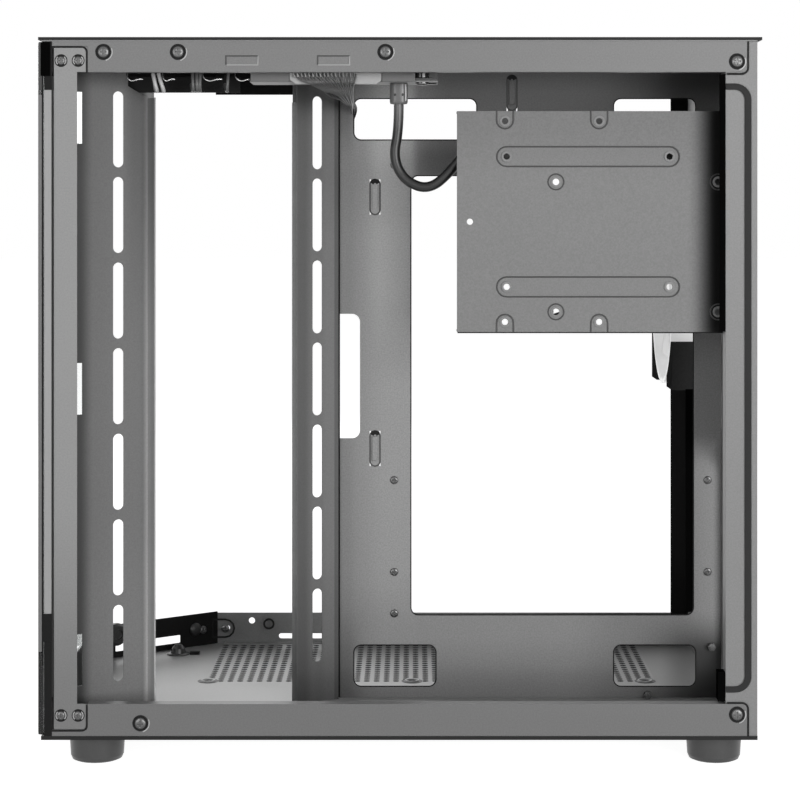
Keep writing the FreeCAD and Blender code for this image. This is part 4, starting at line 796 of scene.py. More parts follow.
def screwMesh(name, axis):
    head = screwSizes["head"]
    tall = screwSizes["tall"]
    profile = [(0, 0), (head, 0), (head, tall * 0.45), (head * 0.86, tall * 0.78),
               (head * 0.55, tall * 0.96), (0, tall)]
    body = temporary(name, lathe(name, profile, 24))
    work = bmesh.new()
    reach = screwSizes["crossReach"]
    wide = screwSizes["crossWide"] / 2
    deep = tall - screwSizes["crossDeep"]
    addBox(work, (-reach, -wide, deep), (reach, wide, tall + 1))
    cutter = temporary("crossCutter", meshFrom(work, "crossCutter"))
    work = bmesh.new()
    addBox(work, (-wide, -reach, deep), (wide, reach, tall + 1))
    second = temporary("crossCutterB", meshFrom(work, "crossCutterB"))
    for tool in (cutter, second):
        modifier = body.modifiers.new("cross", "BOOLEAN")
        modifier.object = tool
        modifier.operation = "DIFFERENCE"
        modifier.solver = "EXACT"
    mesh = evaluatedMesh(body, name)
    drop(body, cutter, second)
    mesh.transform(Vector((0, 0, 1)).rotation_difference(Vector(axis)).to_matrix().to_4x4())
    return mesh


def seatMesh(axis):
    # The dimple that a screw sits in, dark with painted shade
    seat = screwSizes["seat"]
    tall = screwSizes["seatTall"]
    profile = [(seat * 0.5, 0), (seat * 0.5, tall * 0.4), (seat * 0.94, tall), (seat, tall * 0.5), (seat, 0)]
    return lathe("screwSeat", profile, 32, axis)


outward = (0, -1, 0)
nearFace = -140


def screwPlaces(name, depth):
    # The middle of each screw of a node, which holds the screws as separate solids
    work = bmesh.new()
    work.from_mesh(nodes[name].data)
    bmesh.ops.remove_doubles(work, verts=work.verts, dist=0.00001)
    left = set(work.verts)
    places = []
    while left:
        found = [left.pop()]
        for vertex in found:
            for edge in vertex.link_edges:
                other = edge.other_vert(vertex)
                if other in left:
                    left.discard(other)
                    found.append(other)
        middles = []
        for axis in (0, 2):
            values = [vertex.co[axis] for vertex in found]
            middles.append((min(values) + max(values)) / 2 / thousandth)
        places.append((middles[0], depth, middles[1]))
    work.free()
    return sorted(places)


railScrews = screwPlaces("rail_screws", nearFace)
postScrews = screwPlaces("post_screws", nearFace)
trayScrews = screwPlaces("tray_screws", -39)
fanScrews = [(200.6, 71.5 + 52.5 * side, 267 + 52.5 * rise) for side in (-1, 1) for rise in (-1, 1)]


def makeScrews():
    for group, places, axis, finish, size in (
            ("rail", railScrews, outward, "screw", 1.0),
            ("post", postScrews, outward, "screw", screwSizes["smallHead"]),
            ("tray", trayScrews, outward, "darkScrew", screwSizes["traySize"]),
            ("fan", fanScrews, (1, 0, 0), "darkScrew", 1.0)):
        copiesPiece(group + "ScrewHeads", places, screwMesh(group + "Screw", axis), finish, size,
                    slot="screw_steel", replaced=[group + "_screws"])
    copiesPiece("railScrewSeats", railScrews, seatMesh(outward), "groove")
    copiesPiece("postScrewSeats", postScrews, seatMesh(outward), "groove", screwSizes["smallSeat"])


makeScrews()
print("screws ready")


# Pressed lines: thin ridges and flat bands that outline slots, dimples and notches in the sheets, in dark
# finishes of painted shade, with painted highlights beside some of them

def stadium(x0, x1, z, radius, level, count=10):
    # A closed run of points round a long slot that lies level
    points = []
    for centre, start in ((x1, -90), (x0, 90)):
        for step in range(count + 1):
            angle = math.radians(start + 180 * step / count)
            points.append((centre + radius * math.cos(angle), level, z + radius * math.sin(angle)))
    return points


def ridge(lines, width, closed=True):
    # A low ridge of rounded section along each line of points, in millimetres
    return curveMesh("ridge", lines, width, 2, kind="POLY", closed=closed, caps=False)


def ribbon(work, line, width, level, closed=False, thick=0.12):
    # A flat band of one width along a run of (x, z) points on a face that looks out at -Y
    count = len(line)
    flat = [Vector((x, z)) for x, z in line]
    sides = []
    for index, point in enumerate(flat):
        before = flat[index - 1] if index or closed else point
        after = flat[(index + 1) % count] if index < count - 1 or closed else point
        into = (point - before).normalized() if point != before else (after - point).normalized()
        out = (after - point).normalized() if after != point else into
        normal = Vector((-(into + out).y, (into + out).x)).normalized()
        spread = width / 2 / max(0.5, normal.dot(Vector((-into.y, into.x))))
        sides.append((point - normal * spread, point + normal * spread))
    rings = []
    for low, high in sides:
        rings.append([work.verts.new(metres(low.x, level - thick, low.y)),
                      work.verts.new(metres(high.x, level - thick, high.y)),
                      work.verts.new(metres(high.x, level + thick, high.y)),
                      work.verts.new(metres(low.x, level + thick, low.y))])
    pairs = list(zip(rings, rings[1:]))
    if closed:
        pairs.append((rings[-1], rings[0]))
    else:
        work.faces.new(rings[0])
        work.faces.new(rings[-1][::-1])
    for first, second in pairs:
        for index in range(4):
            after = (index + 1) % 4
            work.faces.new((first[index], second[index], second[after], first[after]))


def ribbonPiece(name, bands, level, finish, slot="frame_paint"):
    # Bands are (points, width) or (points, width, True) for a closed run
    work = bmesh.new()
    for band in bands:
        ribbon(work, band[0], band[1], level, closed=len(band) > 2)
    return addPiece(name, meshFrom(work, name), finish, slot=slot)


def corner(x, z, radius, start, end, count=6):
    # Points of an arc round a middle, angles in degrees
    return [(x + radius * math.cos(math.radians(start + (end - start) * step / count)),
             z + radius * math.sin(math.radians(start + (end - start) * step / count)))
            for step in range(count + 1)]


def ring(x, z, radius, count=28):
    return corner(x, z, radius, 0, 360 - 360 / count, count - 1)


tabLines = {
    "width": 1.15, "frontLeft": -201.6, "frontRight": -181.1, "radius": 3.0, "frontTop": 417.6,
    "frontTopEnd": 402.9, "frontLow": 22.4, "frontLowEnd": 37.6, "rearLeft": 188.9, "rearRight": 201.1,
    "rearLow": 38.4, "rearLowEnd": 19.3, "rearTop": 402.0, "rearTopEnd": 420.8, "rearRadius": 3.6,
}
beadLine = {"start": 188.3, "reach": 201.05, "top": 394.7, "low": 46.2, "radius": 7.5, "width": 3.6}


def makeTabLines():
    plan = tabLines
    right = plan["frontRight"]
    bend = plan["radius"]
    bands = []
    top = plan["frontTop"]
    bands.append([(plan["frontLeft"], top)] + corner(right - bend, top - bend, bend, 90, 0)
                 + [(right, plan["frontTopEnd"])])
    low = plan["frontLow"]
    bands.append([(plan["frontLeft"], low)] + corner(right - bend, low + bend, bend, -90, 0)
                 + [(right, plan["frontLowEnd"])])
    right = plan["rearRight"]
    bend = plan["rearRadius"]
    bands.append([(plan["rearLeft"], plan["rearLow"])]
                 + corner(right - bend, plan["rearLow"] - bend, bend, 90, 0) + [(right, plan["rearLowEnd"])])
    bands.append([(plan["rearLeft"], plan["rearTop"])]
                 + corner(right - bend, plan["rearTop"] + bend, bend, -90, 0) + [(right, plan["rearTopEnd"])])
    # The tabs' outlines are dark bands of painted shade
    ribbonPiece("tabLines", [(band, plan["width"]) for band in bands], nearFace, "groove")
    # Painted highlight crescents on the rail screws' seats
    glints = [corner(x, z, screwSizes["seat"] + 0.35, -75, 25) for x, _, z in railScrews]
    ribbonPiece("seatGlints", [(line, 0.7) for line in glints], nearFace, "glint")
    # Painted highlight where the sloped walls of the post screws' recesses would catch the light
    wall = screwSizes["seat"] * screwSizes["smallSeat"] - 0.85
    walls = [corner(x, z, wall, start, start + 96) for x, _, z in postScrews for start in (-46, 132)]
    ribbonPiece("recessGlints", [(line, screwSizes["glintWide"]) for line in walls], nearFace - 0.2, "glint")
    # The flange's bead is drawn as one flat band of painted shade
    bead = beadLine
    bend = bead["radius"]
    line = [(bead["start"], bead["top"])]
    line += corner(bead["reach"] - bend, bead["top"] - bend, bend, 90, 0)
    line += corner(bead["reach"] - bend, bead["low"] + bend, bend, 0, -90)
    line.append((bead["start"], bead["low"]))
    ribbonPiece("flangeBead", [(line, bead["width"])], nearFace, "bead")


makeTabLines()

plateMarks = {"level": -125.05, "holes": (62.2, 157.45), "rows": (278.4, 354.6), "slotRadius": 5.8,
              "dimples": [(91.0, 263.8), (91.0, 339.8), (185.9, 263.8), (185.9, 339.8)],
              "notches": (61.2, 116.3), "low": 252.0, "high": 381.2, "notchRadius": 4.9}


def notchLine(x, edge, side, radius, level):
    points = [(x - radius, level, edge)]
    middle = edge + side * radius * 1.1
    for step in range(9):
        angle = math.pi * (1 - step / 8)
        points.append((x + radius * math.cos(angle), level, middle + side * radius * math.sin(angle)))
    points.append((x + radius, level, edge))
    return points


def makePlateMarks():
    marks = plateMarks
    level = marks["level"]
    first, last = marks["holes"]
    slots = [stadium(first, last, row, marks["slotRadius"], level) for row in marks["rows"]]
    rings = [stadium(x, x + 0.01, z, 4.6, level) for x, z in marks["dimples"]]
    # The ridges round slots, dimples and notches take the dark pressed-line finish: painted shade
    mesh = ridge(slots + rings, 0.9)
    addPiece("platePressings", mesh, "press")
    lines = []
    for x in marks["notches"]:
        lines.append(notchLine(x, marks["low"], 1, marks["notchRadius"], level))
        lines.append(notchLine(x, marks["high"], -1, marks["notchRadius"], level))
    addPiece("plateNotches", ridge(lines, 1.0, closed=False), "press")
    # A dark band of painted shade lies along the plate's bottom edge
    ribbonPiece("plateLowLine", [([(33.4, marks["low"] - 0.2), (199.0, marks["low"] - 0.2)], 1.0)],
                marks["level"] + 0.3, "groove")
    washers = []
    for x in marks["notches"]:
        washers += [(x, level, marks["low"] + 5.9), (x, level, marks["high"] - 5.9)]
    profile = [(1.9, 0), (1.9, 0.35), (3.1, 0.35), (3.3, 0)]
    shape = lathe("holeRing", profile, 24, outward)
    places = washers + [(x, level, z) for x in marks["holes"] for z in marks["rows"]]
    places += [(x, level, z) for x, z in marks["dimples"]]
    copiesPiece("plateHoleRings", places, shape, "frame")


bridgeMarks = {"places": [(-16.3, 163.7, 22), (-16.3, 320.6, 22), (69.1, 385.5, 22)], "half": 3.1,
               "rise": 1.2, "inset": 3.4, "level": -39.0, "line": 0.95, "cap": 2.6}


def makeTieBridges():
    # Lanced loops that stand proud of the tray for cable ties
    marks = bridgeMarks
    boxes = []
    lines = []
    caps = []
    level = marks["level"]
    half = marks["half"]
    inset = marks["inset"]
    for x, low, long in marks["places"]:
        boxes.append(((x - half + 1.3, level - marks["rise"], low + inset),
                      (x + half - 1.3, level + 0.1, low + long - inset), 0.3))
        top = corner(x, low + long - half, half, 0, 180)
        lines.append(top + corner(x, low + half, half, 180, 360))
        caps.append(corner(x, low + long - half, half - marks["cap"] / 2 + 0.4, 15, 165))
    boxPiece("tieBridges", boxes, "tray")
    # The loops' outlines and caps are dark bands of painted shade
    ribbonPiece("tieBridgeLines", [(line, marks["line"], True) for line in lines], level, "press")
    ribbonPiece("tieBridgeCaps", [(line, marks["cap"]) for line in caps], level - 0.02, "groove")


railMarks = {"slots": [(-91.5, 18.5), (-38.5, 18.5)], "z": 409.8, "tall": 5.2, "line": 0.8}


def makeRailMarks():
    # Each pressed slot gets a painted shade line along its upper edge and a painted highlight line along its
    # lower one
    dark = []
    lit = []
    low = railMarks["z"] - railMarks["tall"] / 2
    high = low + railMarks["tall"]
    for middle, long in railMarks["slots"]:
        left = middle - long / 2
        right = middle + long / 2
        dark.append(([(left, low), (left, high), (right, high)], railMarks["line"]))
        lit.append(([(left, low), (right, low), (right, high)], railMarks["line"]))
    ribbonPiece("railSlotsDark", dark, nearFace, "press")
    ribbonPiece("railSlotsLit", lit, nearFace, "edgeStrip")


rimPlan = {"depth": -38.6, "width": 1.5, "shortest": 60.0}


def faceLoops(name, level):
    # The closed edges of a node's face that looks out at -Y, as runs of (x, z) points
    work = bmesh.new()
    work.from_mesh(nodes[name].data)
    bmesh.ops.remove_doubles(work, verts=work.verts, dist=0.00001)
    shown = {face for face in work.faces
             if face.normal.y < -0.99 and abs(face.calc_center_median().y - mm(level)) < mm(0.1)}
    ahead = {}
    for face in shown:
        for loop in face.loops:
            if sum(other in shown for other in loop.edge.link_faces) == 1:
                ahead[loop.vert] = loop.link_loop_next.vert
    runs = []
    while ahead:
        first, point = ahead.popitem()
        run = [first, point]
        while point in ahead:
            point = ahead.pop(point)
            run.append(point)
        line = [(vertex.co.x / thousandth, vertex.co.z / thousandth) for vertex in run[:-1]]
        start = line.index(min(line))
        runs.append(line[start:] + line[:start])
    work.free()
    return sorted(runs)


def runLength(run):
    return sum(math.dist(start, end) for start, end in zip(run, run[1:] + run[:1]))


def makeTrayRims():
    runs = [run for run in faceLoops("motherboard_tray", bridgeMarks["level"]) if len(run) > 3]
    runs.sort(key=runLength)
    inner = [run for run in runs[:-1] if runLength(run) > rimPlan["shortest"]]
    # Dark bands of painted shade run round the tray's windows
    ribbonPiece("trayRims", [(run, rimPlan["width"], True) for run in inner], rimPlan["depth"], "groove")
    low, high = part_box("motherboard_tray")
    left = low[0] / thousandth
    bottom, top = low[2] / thousandth, high[2] / thousandth
    # A dark strip of painted shade stands for the tray's folded front edge
    boxPiece("trayFrontFold", [((left - 2.4, -38.1, bottom), (left - 0.05, -36.1, top))], "groove")


makePlateMarks()
makeTieBridges()
makeRailMarks()
makeTrayRims()
print("pressings ready")


# Cable, strain relief and plug

cableRoute = [(-1.0, -110, 386.0), (-1.0, -110, 371.0), (-4.4, -110.5, 354.0), (2.4, -111, 340.5),
              (17.2, -112, 335.0), (31.0, -113, 347.5), (42.0, -113, 363.5), (70.0, -113, 371.5),
              (150.0, -112, 371.0), (178.0, -112, 350.0), (183.0, -112, 304.0), (173.0, -112, 274.5),
              (141.0, -112, 269.0), (114.0, -112, 267.2), (90.0, -112, 259.0)]
wiresRoute = [(-46.0, -110, 399.0), (-44.5, -106, 394.5), (-39.5, -92, 392.0), (-34.5, -75, 391.0),
              (-31.4, -58, 389.6), (-29.7, -46, 388.2), (-28.9, -38.6, 385.8), (-32.6, -31, 377.0),
              (-34.3, -29.5, 350.0), (-34.3, -29.5, 320.0), (-33.0, -29.5, 290.0)]
cordSizes = {"cable": 5.9, "cableLength": 0.396, "wires": 4.2, "wiresLength": 0.175, "wireCount": 13,
             "wireSize": 1.0, "twist": 2.2}

reliefPlan = {"profile": [(0, 398.1), (4.75, 398.1), (4.75, 387.3), (4.4, 386.1), (3.2, 385.9), (0, 385.9)],
              "place": (-1, -110, 0), "waist": 0.13, "wider": 1.12, "face": -113.9, "dots": (-3.2, 1.4),
              "dotHeight": 391.4, "bands": (-0.9, 3.1), "bandLow": 387.6, "bandHigh": 397.6}


def makeRelief():
    # A two-lobed moulding tapering to a collar, with a pair of small holes drawn as dark discs of painted
    # shade and two bands of painted highlight
    plan = reliefPlan
    mesh = lathe("cableRelief", plan["profile"], 32)
    for vertex in mesh.vertices:
        angle = math.atan2(vertex.co.y, vertex.co.x)
        waist = 1 - plan["waist"] * abs(math.cos(angle + math.pi / 2)) ** 6
        vertex.co.x *= waist * plan["wider"]
        vertex.co.y *= waist
    mesh.transform(Matrix.Translation(metres(*plan["place"])))
    relief = addPiece("cableRelief", mesh, "relief", slot="cable_jacket", replaced=["cable_relief"])
    dot = lathe("reliefDot", [(0, 0), (0.75, 0), (0.75, 0.3), (0, 0.3)], 16, outward)
    places = [(x, plan["face"], plan["dotHeight"]) for x in plan["dots"]]
    holes = copiesPiece("reliefHoles", places, dot, "border", slot="cable_jacket")
    lines = [([(x, plan["bandLow"]), (x, plan["bandHigh"])], 0.9) for x in plan["bands"]]
    bands = ribbonPiece("reliefBands", lines, plan["face"], "glint", slot="cable_jacket")
    return relief, holes, bands


def makePlug():
    work = bmesh.new()
    addBox(work, (-17.8, -4.8, -5.8), (-0.1, 4.8, 5.8), bevel=0.8)
    for index in range(5):
        left = -13.5 + index * 2.2
        for side in (-1, 1):
            addBox(work, (left, side * 4.85 - 0.15, -4.6), (left + 1.0, side * 4.85 + 0.15, 4.6))
    addBox(work, (-19.8, -3.6, -5.0), (-17.8, 3.6, 5.0), bevel=0.3)
    heading = Vector((-14.0, 0, 0.8)).normalized()
    turn = Vector((-1, 0, 0)).rotation_difference(heading).to_matrix()
    bmesh.ops.rotate(work, verts=work.verts, cent=(0, 0, 0), matrix=turn)
    bmesh.ops.translate(work, verts=work.verts, vec=metres(*cableRoute[-1]))
    return addPiece("cablePlug", meshFrom(work, "cablePlug"), "plastic", slot="black_plastic",
                    replaced=["cable_plug"])


def makeCable():
    reliefPieces = makeRelief()
    plug = makePlug()
    data = curveData("usbCable", [cableRoute], cordSizes["cable"], 6, detail=16)
    data.materials.append(finishes["cable"])
    cable = temporary("usbCable", data)
    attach(cable, "case")
    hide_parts("usb_cable")


def routePoints(route):
    item = temporary("routeLine", curveData("routeLine", [route], 0, 6, caps=False, detail=16))
    mesh = evaluatedMesh(item, "routeLine")
    drop(item)
    return [vertex.co.copy() for vertex in mesh.vertices]


def strandPath(points, index, count, spread):
    # One wire of a bundle: it keeps its place in the bundle, with a slow twist
    path = []
    travelled = 0.0
    for number, point in enumerate(points):
        ahead = points[min(number + 1, len(points) - 1)] - points[max(number - 1, 0)]
        if number:
            travelled += (point - points[number - 1]).length
        side = ahead.cross(Vector((0.3, 1, 0.2))).normalized()
        rise = ahead.cross(side).normalized()
        angle = 2 * math.pi * index / max(count - 1, 1) + travelled / mm(100) * cordSizes["twist"]
        reach = spread * (0.95 if index % 2 else 0.62) if index else 0.0
        path.append((point + (side * math.cos(angle) + rise * math.sin(angle)) * reach) / thousandth)
    return path


def makeWires():
    points = routePoints(wiresRoute)
    count = cordSizes["wireCount"]
    spread = mm(cordSizes["wires"] - cordSizes["wireSize"]) / 2
    paths = [strandPath(points, index, count, spread) for index in range(count)]
    mesh = curveMesh("panelWires", paths, cordSizes["wireSize"], 2, kind="POLY")
    wires = addPiece("panelWires", mesh, "bundle", slot="cable_jacket", replaced=["panel_wires"])


fanWires = {"count": 17, "left": -62.0, "right": -26.5, "across": -128.4, "size": 1.1, "tipExtra": 0.24}


def makeWireFan():
    # Single wires leave the pins side by side and gather towards the tray's window
    plan = fanWires
    lines = []
    pale = []
    for index in range(plan["count"]):
        share = index / (plan["count"] - 1)
        left = plan["left"] + (plan["right"] - plan["left"]) * share
        front = plan["across"] - 0.8 * (index % 2)
        lower = 1.0 * (index % 3)
        lines.append([(left, front, 403.8), (left + 0.8, front - 0.9, 400.2),
                      (-50.5 + 23.0 * share, -129.6, 396.2), (-41.5 + 12.6 * share, -96, 392.6 - 0.8 * share),
                      (-34.4 + 5.0 * share, -66, 389.8 - 1.2 * share - lower * 0.6),
                      (-31.2 + 0.8 * share, -48, 388.0 - lower), (-30.6, -43.5, 385.4 - lower)])
        pale.append([(left, front, 404.4), (left + 0.1, front - 0.1, 402.2),
                     (left + 0.3, front - 0.4, 400.9)])
    for name, run, thick, finish in (("fanOfWires", lines, plan["size"], "wire"),
                                     ("wireTips", pale, plan["size"] + plan["tipExtra"], "paleWire")):
        addPiece(name, curveMesh(name, run, thick), finish, slot="cable_jacket")


makeCable()
makeWires()
makeWireFan()
print("cable and wires ready")


# Small parts of the control panel that hang below the roof rail

controlPlan = {"front": -127.2, "back": -125.1, "shelfLip": (-87.5, 398.4, 404.6),
               "strip": [(-64.5, 405.0), (-64.5, 399.4), (-61.0, 396.9), (-14.0, 396.9), (-11.0, 399.2),
                         (-11.0, 405.0)],
               "block": (-10.8, 398.4, 8.6, 404.6), "jackPlace": (12.8, -120.5), "jackReach": 4.0,
               "jackTop": 404.6, "jackLow": 396.6, "jackRibs": (-2.9, -0.9, 2.1),
               "blade": (16.5, 397.2, 21.2, 397.9)}


def makeControlDetails():
    plan = controlPlan
    left, low, high = plan["shelfLip"]
    stripLeft = plan["strip"][0][0]
    boxPiece("shelfLip", [((left, -126.4, low), (stripLeft, plan["back"], high), 0.2)], "block")
    work = bmesh.new()
    prism(work, *[[(x, y, z) for x, z in plan["strip"]] for y in (plan["front"], plan["back"])])
    addPiece("headerStrip", meshFrom(work, "headerStrip"), "pale", slot="circuit_board")
    left, low, right, high = plan["block"]
    boxPiece("socketBlock", [((left, -126.2, low), (right, plan["back"], high), 0.3)], "block")
    reach = plan["jackReach"]
    top = plan["jackTop"]
    tall = top - plan["jackLow"]
    neck = reach * 0.82
    profile = [(0, 0), (reach, 0), (reach, tall * 0.45), (neck, tall * 0.5), (neck, tall * 0.62),
               (reach, tall * 0.66), (reach, tall * 0.9), (reach * 0.7, tall), (0, tall)]
    x, y = plan["jackPlace"]
    turnedPiece("jackNut", profile, 12, (0, 0, -1), (x, y, top), "darkScrew", slot="socket_shell")
    boxes = [((x + offset, y - reach - 0.15, plan["jackLow"] + 1.2),
              (x + offset + 0.9, y - reach + 1.6, top - 0.3)) for offset in plan["jackRibs"]]
    left, low, right, high = plan["blade"]
    boxes.append(((left, y - 0.6, low), (right, y + 0.6, high)))
    boxPiece("jackDetails", boxes, "dark", slot="socket_shell")


# Place and lean of each wire that hangs in a loop, then the finish and thickness of each kind
hangingWires = {
    "pale": ([(-142.9, 2.2), (-138.9, 3.0)], "paleWire", 2.3),
    "dark": ([(-121.4, 0.5), (-119.2, 0.2), (-117.6, -0.3)], "wire", 2.0),
    "single": ([(-101.5, -0.6)], "wire", 1.9),
}
hangingDepth = 392.9
springClips = {"places": [(-160.5, 7.0), (-139.5, 5.0), (-116.0, 9.0), (-97.0, 8.0)], "thick": 0.7}


def loopLine(x, lean, depth):
    return [(x - lean, -121, 403.5), (x - lean * 0.6, -122, 399.0), (x, -121.5, depth + 1.2),
            (x - 0.2, -118, depth), (x - 1.6, -113, depth + 1.5), (x - 2.4, -109, 397.8)]


def makeHangingWires():
    for key, (places, finish, thick) in hangingWires.items():
        lines = [loopLine(x, lean, hangingDepth) for x, lean in places]
        name = key + "HangingWires"
        addPiece(name, curveMesh(name, lines, thick), finish, slot="cable_jacket")
    clips = [[(x, -122, 403.6), (x + 0.6, -123, 400.4), (x + reach * 0.5, -123.5, 398.6),
              (x + reach, -123, 400.2), (x + reach + 2.5, -122, 400.0)] for x, reach in springClips["places"]]
    mesh = curveMesh("springClips", clips, springClips["thick"], sides=2)
    addPiece("springClips", mesh, "shell", slot="screw_steel")


makeControlDetails()
makeHangingWires()
print("control panel details ready")


# Front glass: its printed black border and dark edge

glassPlan = {"outer": -209.2, "inner": -206.0, "near": -140, "far": 80.5, "low": 19.6, "high": 420.5,
             "border": 11.0, "inset": 0.3, "printThick": 0.08, "printGap": 0.02, "topEdgeLow": 392.7}


def makeGlassBorder():
    plan = glassPlan
    inset = plan["inset"]
    left = plan["inner"] + plan["printGap"]
    right = left + plan["printThick"]
    near, far = plan["near"] + inset, plan["far"] - inset
    low, high = plan["low"] + inset, plan["high"] - inset
    edge = plan["border"]
    boxPiece("glassBorder", [((left, near, low), (right, far, low + edge)),
                             ((left, near, high - edge), (right, far, high)),
                             ((left, near, low + edge), (right, near + edge, high - edge)),
                             ((left, far - edge, low + edge), (right, far, high - edge))],
             "border", slot="tempered_glass")


def makeGlassTopEdge():
    # The print on the back of the pane shows black through its near edge at the top
    plan = glassPlan
    near = plan["near"]
    boxPiece("glassTopEdge", [((plan["outer"] + 0.3, near - 0.08, plan["topEdgeLow"]),
                               (plan["inner"], near - 0.01, 420.4))], "border", slot="tempered_glass")


makeGlassBorder()
print("glass border ready")


# Tongues inside the sockets of the top cover

def makeSocketTongues():
    line = controls["line"]
    boxes = [((place - 5.0, line + 0.2, 411.0), (place + 5.0, line + 1.7, 421.5), 0.15)
             for place in controls["usb"]]
    place = controls["typeC"][0]
    boxes.append(((place - 3.2, line - 0.3, 411.0), (place + 3.2, line + 0.3, 421.8)))
    boxPiece("socketTongues", boxes, "plastic", slot="black_plastic")


makeSocketTongues()


# Rear fan: a milky barrel held by four black corner blocks, with a motor on four struts

fanPlan = {"front": 174.8, "rear": 199.8, "y": 71.5, "z": 267.0, "half": 60.0, "bore": 57.2, "barrel": 59.8,
           "block": 29.0, "hub": 20.0, "strut": 3.0, "strutThick": 2.5}


def makeFanCasing():
    plan = fanPlan
    deep = plan["rear"] - plan["front"]
    profile = [(plan["bore"], 0), (plan["barrel"], 0), (plan["barrel"], deep), (plan["bore"], deep),
               (plan["bore"], 0)]
    work = bmesh.new()
    work.from_mesh(lathe("fanBarrel", profile, 72, (1, 0, 0)))
    bmesh.ops.remove_doubles(work, verts=work.verts, dist=0.00001)
    bmesh.ops.translate(work, verts=work.verts, vec=metres(plan["front"], plan["y"], plan["z"]))
    # The barrel takes the blade finish, whose glow is painted light
    addPiece("fanBarrel", meshFrom(work, "fanBarrel"), "blade", slot="fan_blades", replaced=["rear_fan_frame"])
    work = bmesh.new()
    reach = plan["barrel"] + 0.3
    first = math.degrees(math.asin(plan["block"] / reach))
    outline = [(plan["half"], plan["half"]), (plan["half"], plan["block"])]
    outline += corner(0, 0, reach, first, 90 - first, 10) + [(plan["block"], plan["half"])]
    for sideY in (-1, 1):
        for sideZ in (-1, 1):
            prism(work, *[[(x, plan["y"] + sideY * y, plan["z"] + sideZ * z) for y, z in outline]
                          for x in (plan["front"], plan["rear"])])
    addPiece("fanCorners", meshFrom(work, "fanCorners"), "fanBlack", slot="black_plastic",
             replaced=["rear_fan_frame"])
    work = bmesh.new()
    back = plan["rear"] - plan["strutThick"]
    for step in range(4):
        angle = math.radians(45 + 90 * step)
        middle = (plan["hub"] + plan["bore"]) / 2
        long = plan["bore"] - plan["hub"] + 3
        turn = Matrix.Rotation(angle, 4, "X")
        place = Matrix.Translation(metres(back + plan["strutThick"] / 2, plan["y"], plan["z"])) @ turn
        place = place @ Matrix.Translation(metres(0, middle, 0))
        size = Matrix.Diagonal((*metres(plan["strutThick"], long, plan["strut"]), 1))
        bmesh.ops.create_cube(work, size=1.0, matrix=place @ size)
    addPiece("fanStruts", meshFrom(work, "fanStruts"), "fanBlack", slot="black_plastic",
             replaced=["rear_fan_frame"])
    profile = [(0, 0), (plan["hub"], 0), (plan["hub"], plan["strutThick"]), (0, plan["strutThick"])]
    turnedPiece("fanMotorPlate", profile, 40, (1, 0, 0), (back, plan["y"], plan["z"]), "fanBlack",
                slot="black_plastic", replaced=["rear_fan_frame"])


# Small things round the far corner and on the floor

farPlan = {"slantFrom": (-201.2, 80.6), "slantTo": (-130.6, 135.4), "coverLow": 407.0, "coverHigh": 420.0,
           "coverLong": 86, "coverThick": 0.4,
           "boss": (-194.0, 76.5, 37.0), "bossReach": 7.6, "bossDeep": 5.0, "dome": (-144.2, 123.0, 31.3),
           "domeReach": 4.6, "screws": [(-139.6, 127.0, 30.3), (-124.3, 131.8, 30.3)], "tab": (-124.3, 30.3),
           "ring": (-93.8, 33.4), "rings": [(-125.0, 9.7), (6.7, 9.7), (157.2, 9.7)], "ringReach": 5.2,
           "plugged": (-135.9, 130.9, 30.6), "studBase": (-153.4, 97.0), "studReach": 7.8,
           "posts": [(193.3, -39, 51.5), (153.4, -39, 21.4)], "postReach": 2.5, "postTall": 4.5}
# Thin boxes that close a gap or paint shade over a corner, edge or groove: finish, low corner, high corner
shadeBoxes = {
    "railSeal": ("dark", (-131.0, 131.9, 404.5), (-66.0, 132.5, 420.6)),
    "lipTop": ("strip", (-164.0, -96.6, 390.0), (-147.4, -96.1, 395.2)),
    "lipShade": ("dark", (-166.0, -96.9, 393.5), (-96.0, -96.2, 403.0)),
    "rearLipTop": ("stripRear", (-67.5, -42.3, 389.8), (-64.9, -41.9, 402.0)),
    "footBracket": ("deep", (184.0, -139.0, 39.0), (188.1, -130.0, 56.0)),
    "chip": ("dark", (-145.4, 94.8, 19.3), (-138.8, 98.8, 21.2)),
    "glassShade": ("deep", (-207.8, -140.6, 400.8), (-202.2, -140.2, 420.4)),
    "lipShadeRear": ("deep", (184.6, -139.6, 253.0), (188.15, -139.2, 402.0)),
    "glassShadeLow": ("dark", (-206.4, -140.6, 74.0), (-201.4, -140.2, 90.0)),
    "glassEdgeFace": ("glassEdge", (-209.15, -140.35, 68.0), (-207.1, -140.05, 390.0)),
    "glassEdgeLine": ("dark", (-207.1, -140.35, 60.0), (-206.0, -140.05, 400.8)),
    "postGroove": ("coverEdge", (-201.4, -140.35, 42.0), (-200.2, -140.05, 400.8)),
    "sideShade": ("deep", (177.6, -37.4, 72.4), (182.8, -36.9, 211.6)),
}


def slantDirections():
    # Along the slanted corner, and from it into the case
    startX, startY = farPlan["slantFrom"]
    endX, endY = farPlan["slantTo"]
    along = Vector((endX - startX, endY - startY, 0)).normalized()
    return along, Vector((along.y, -along.x, 0))


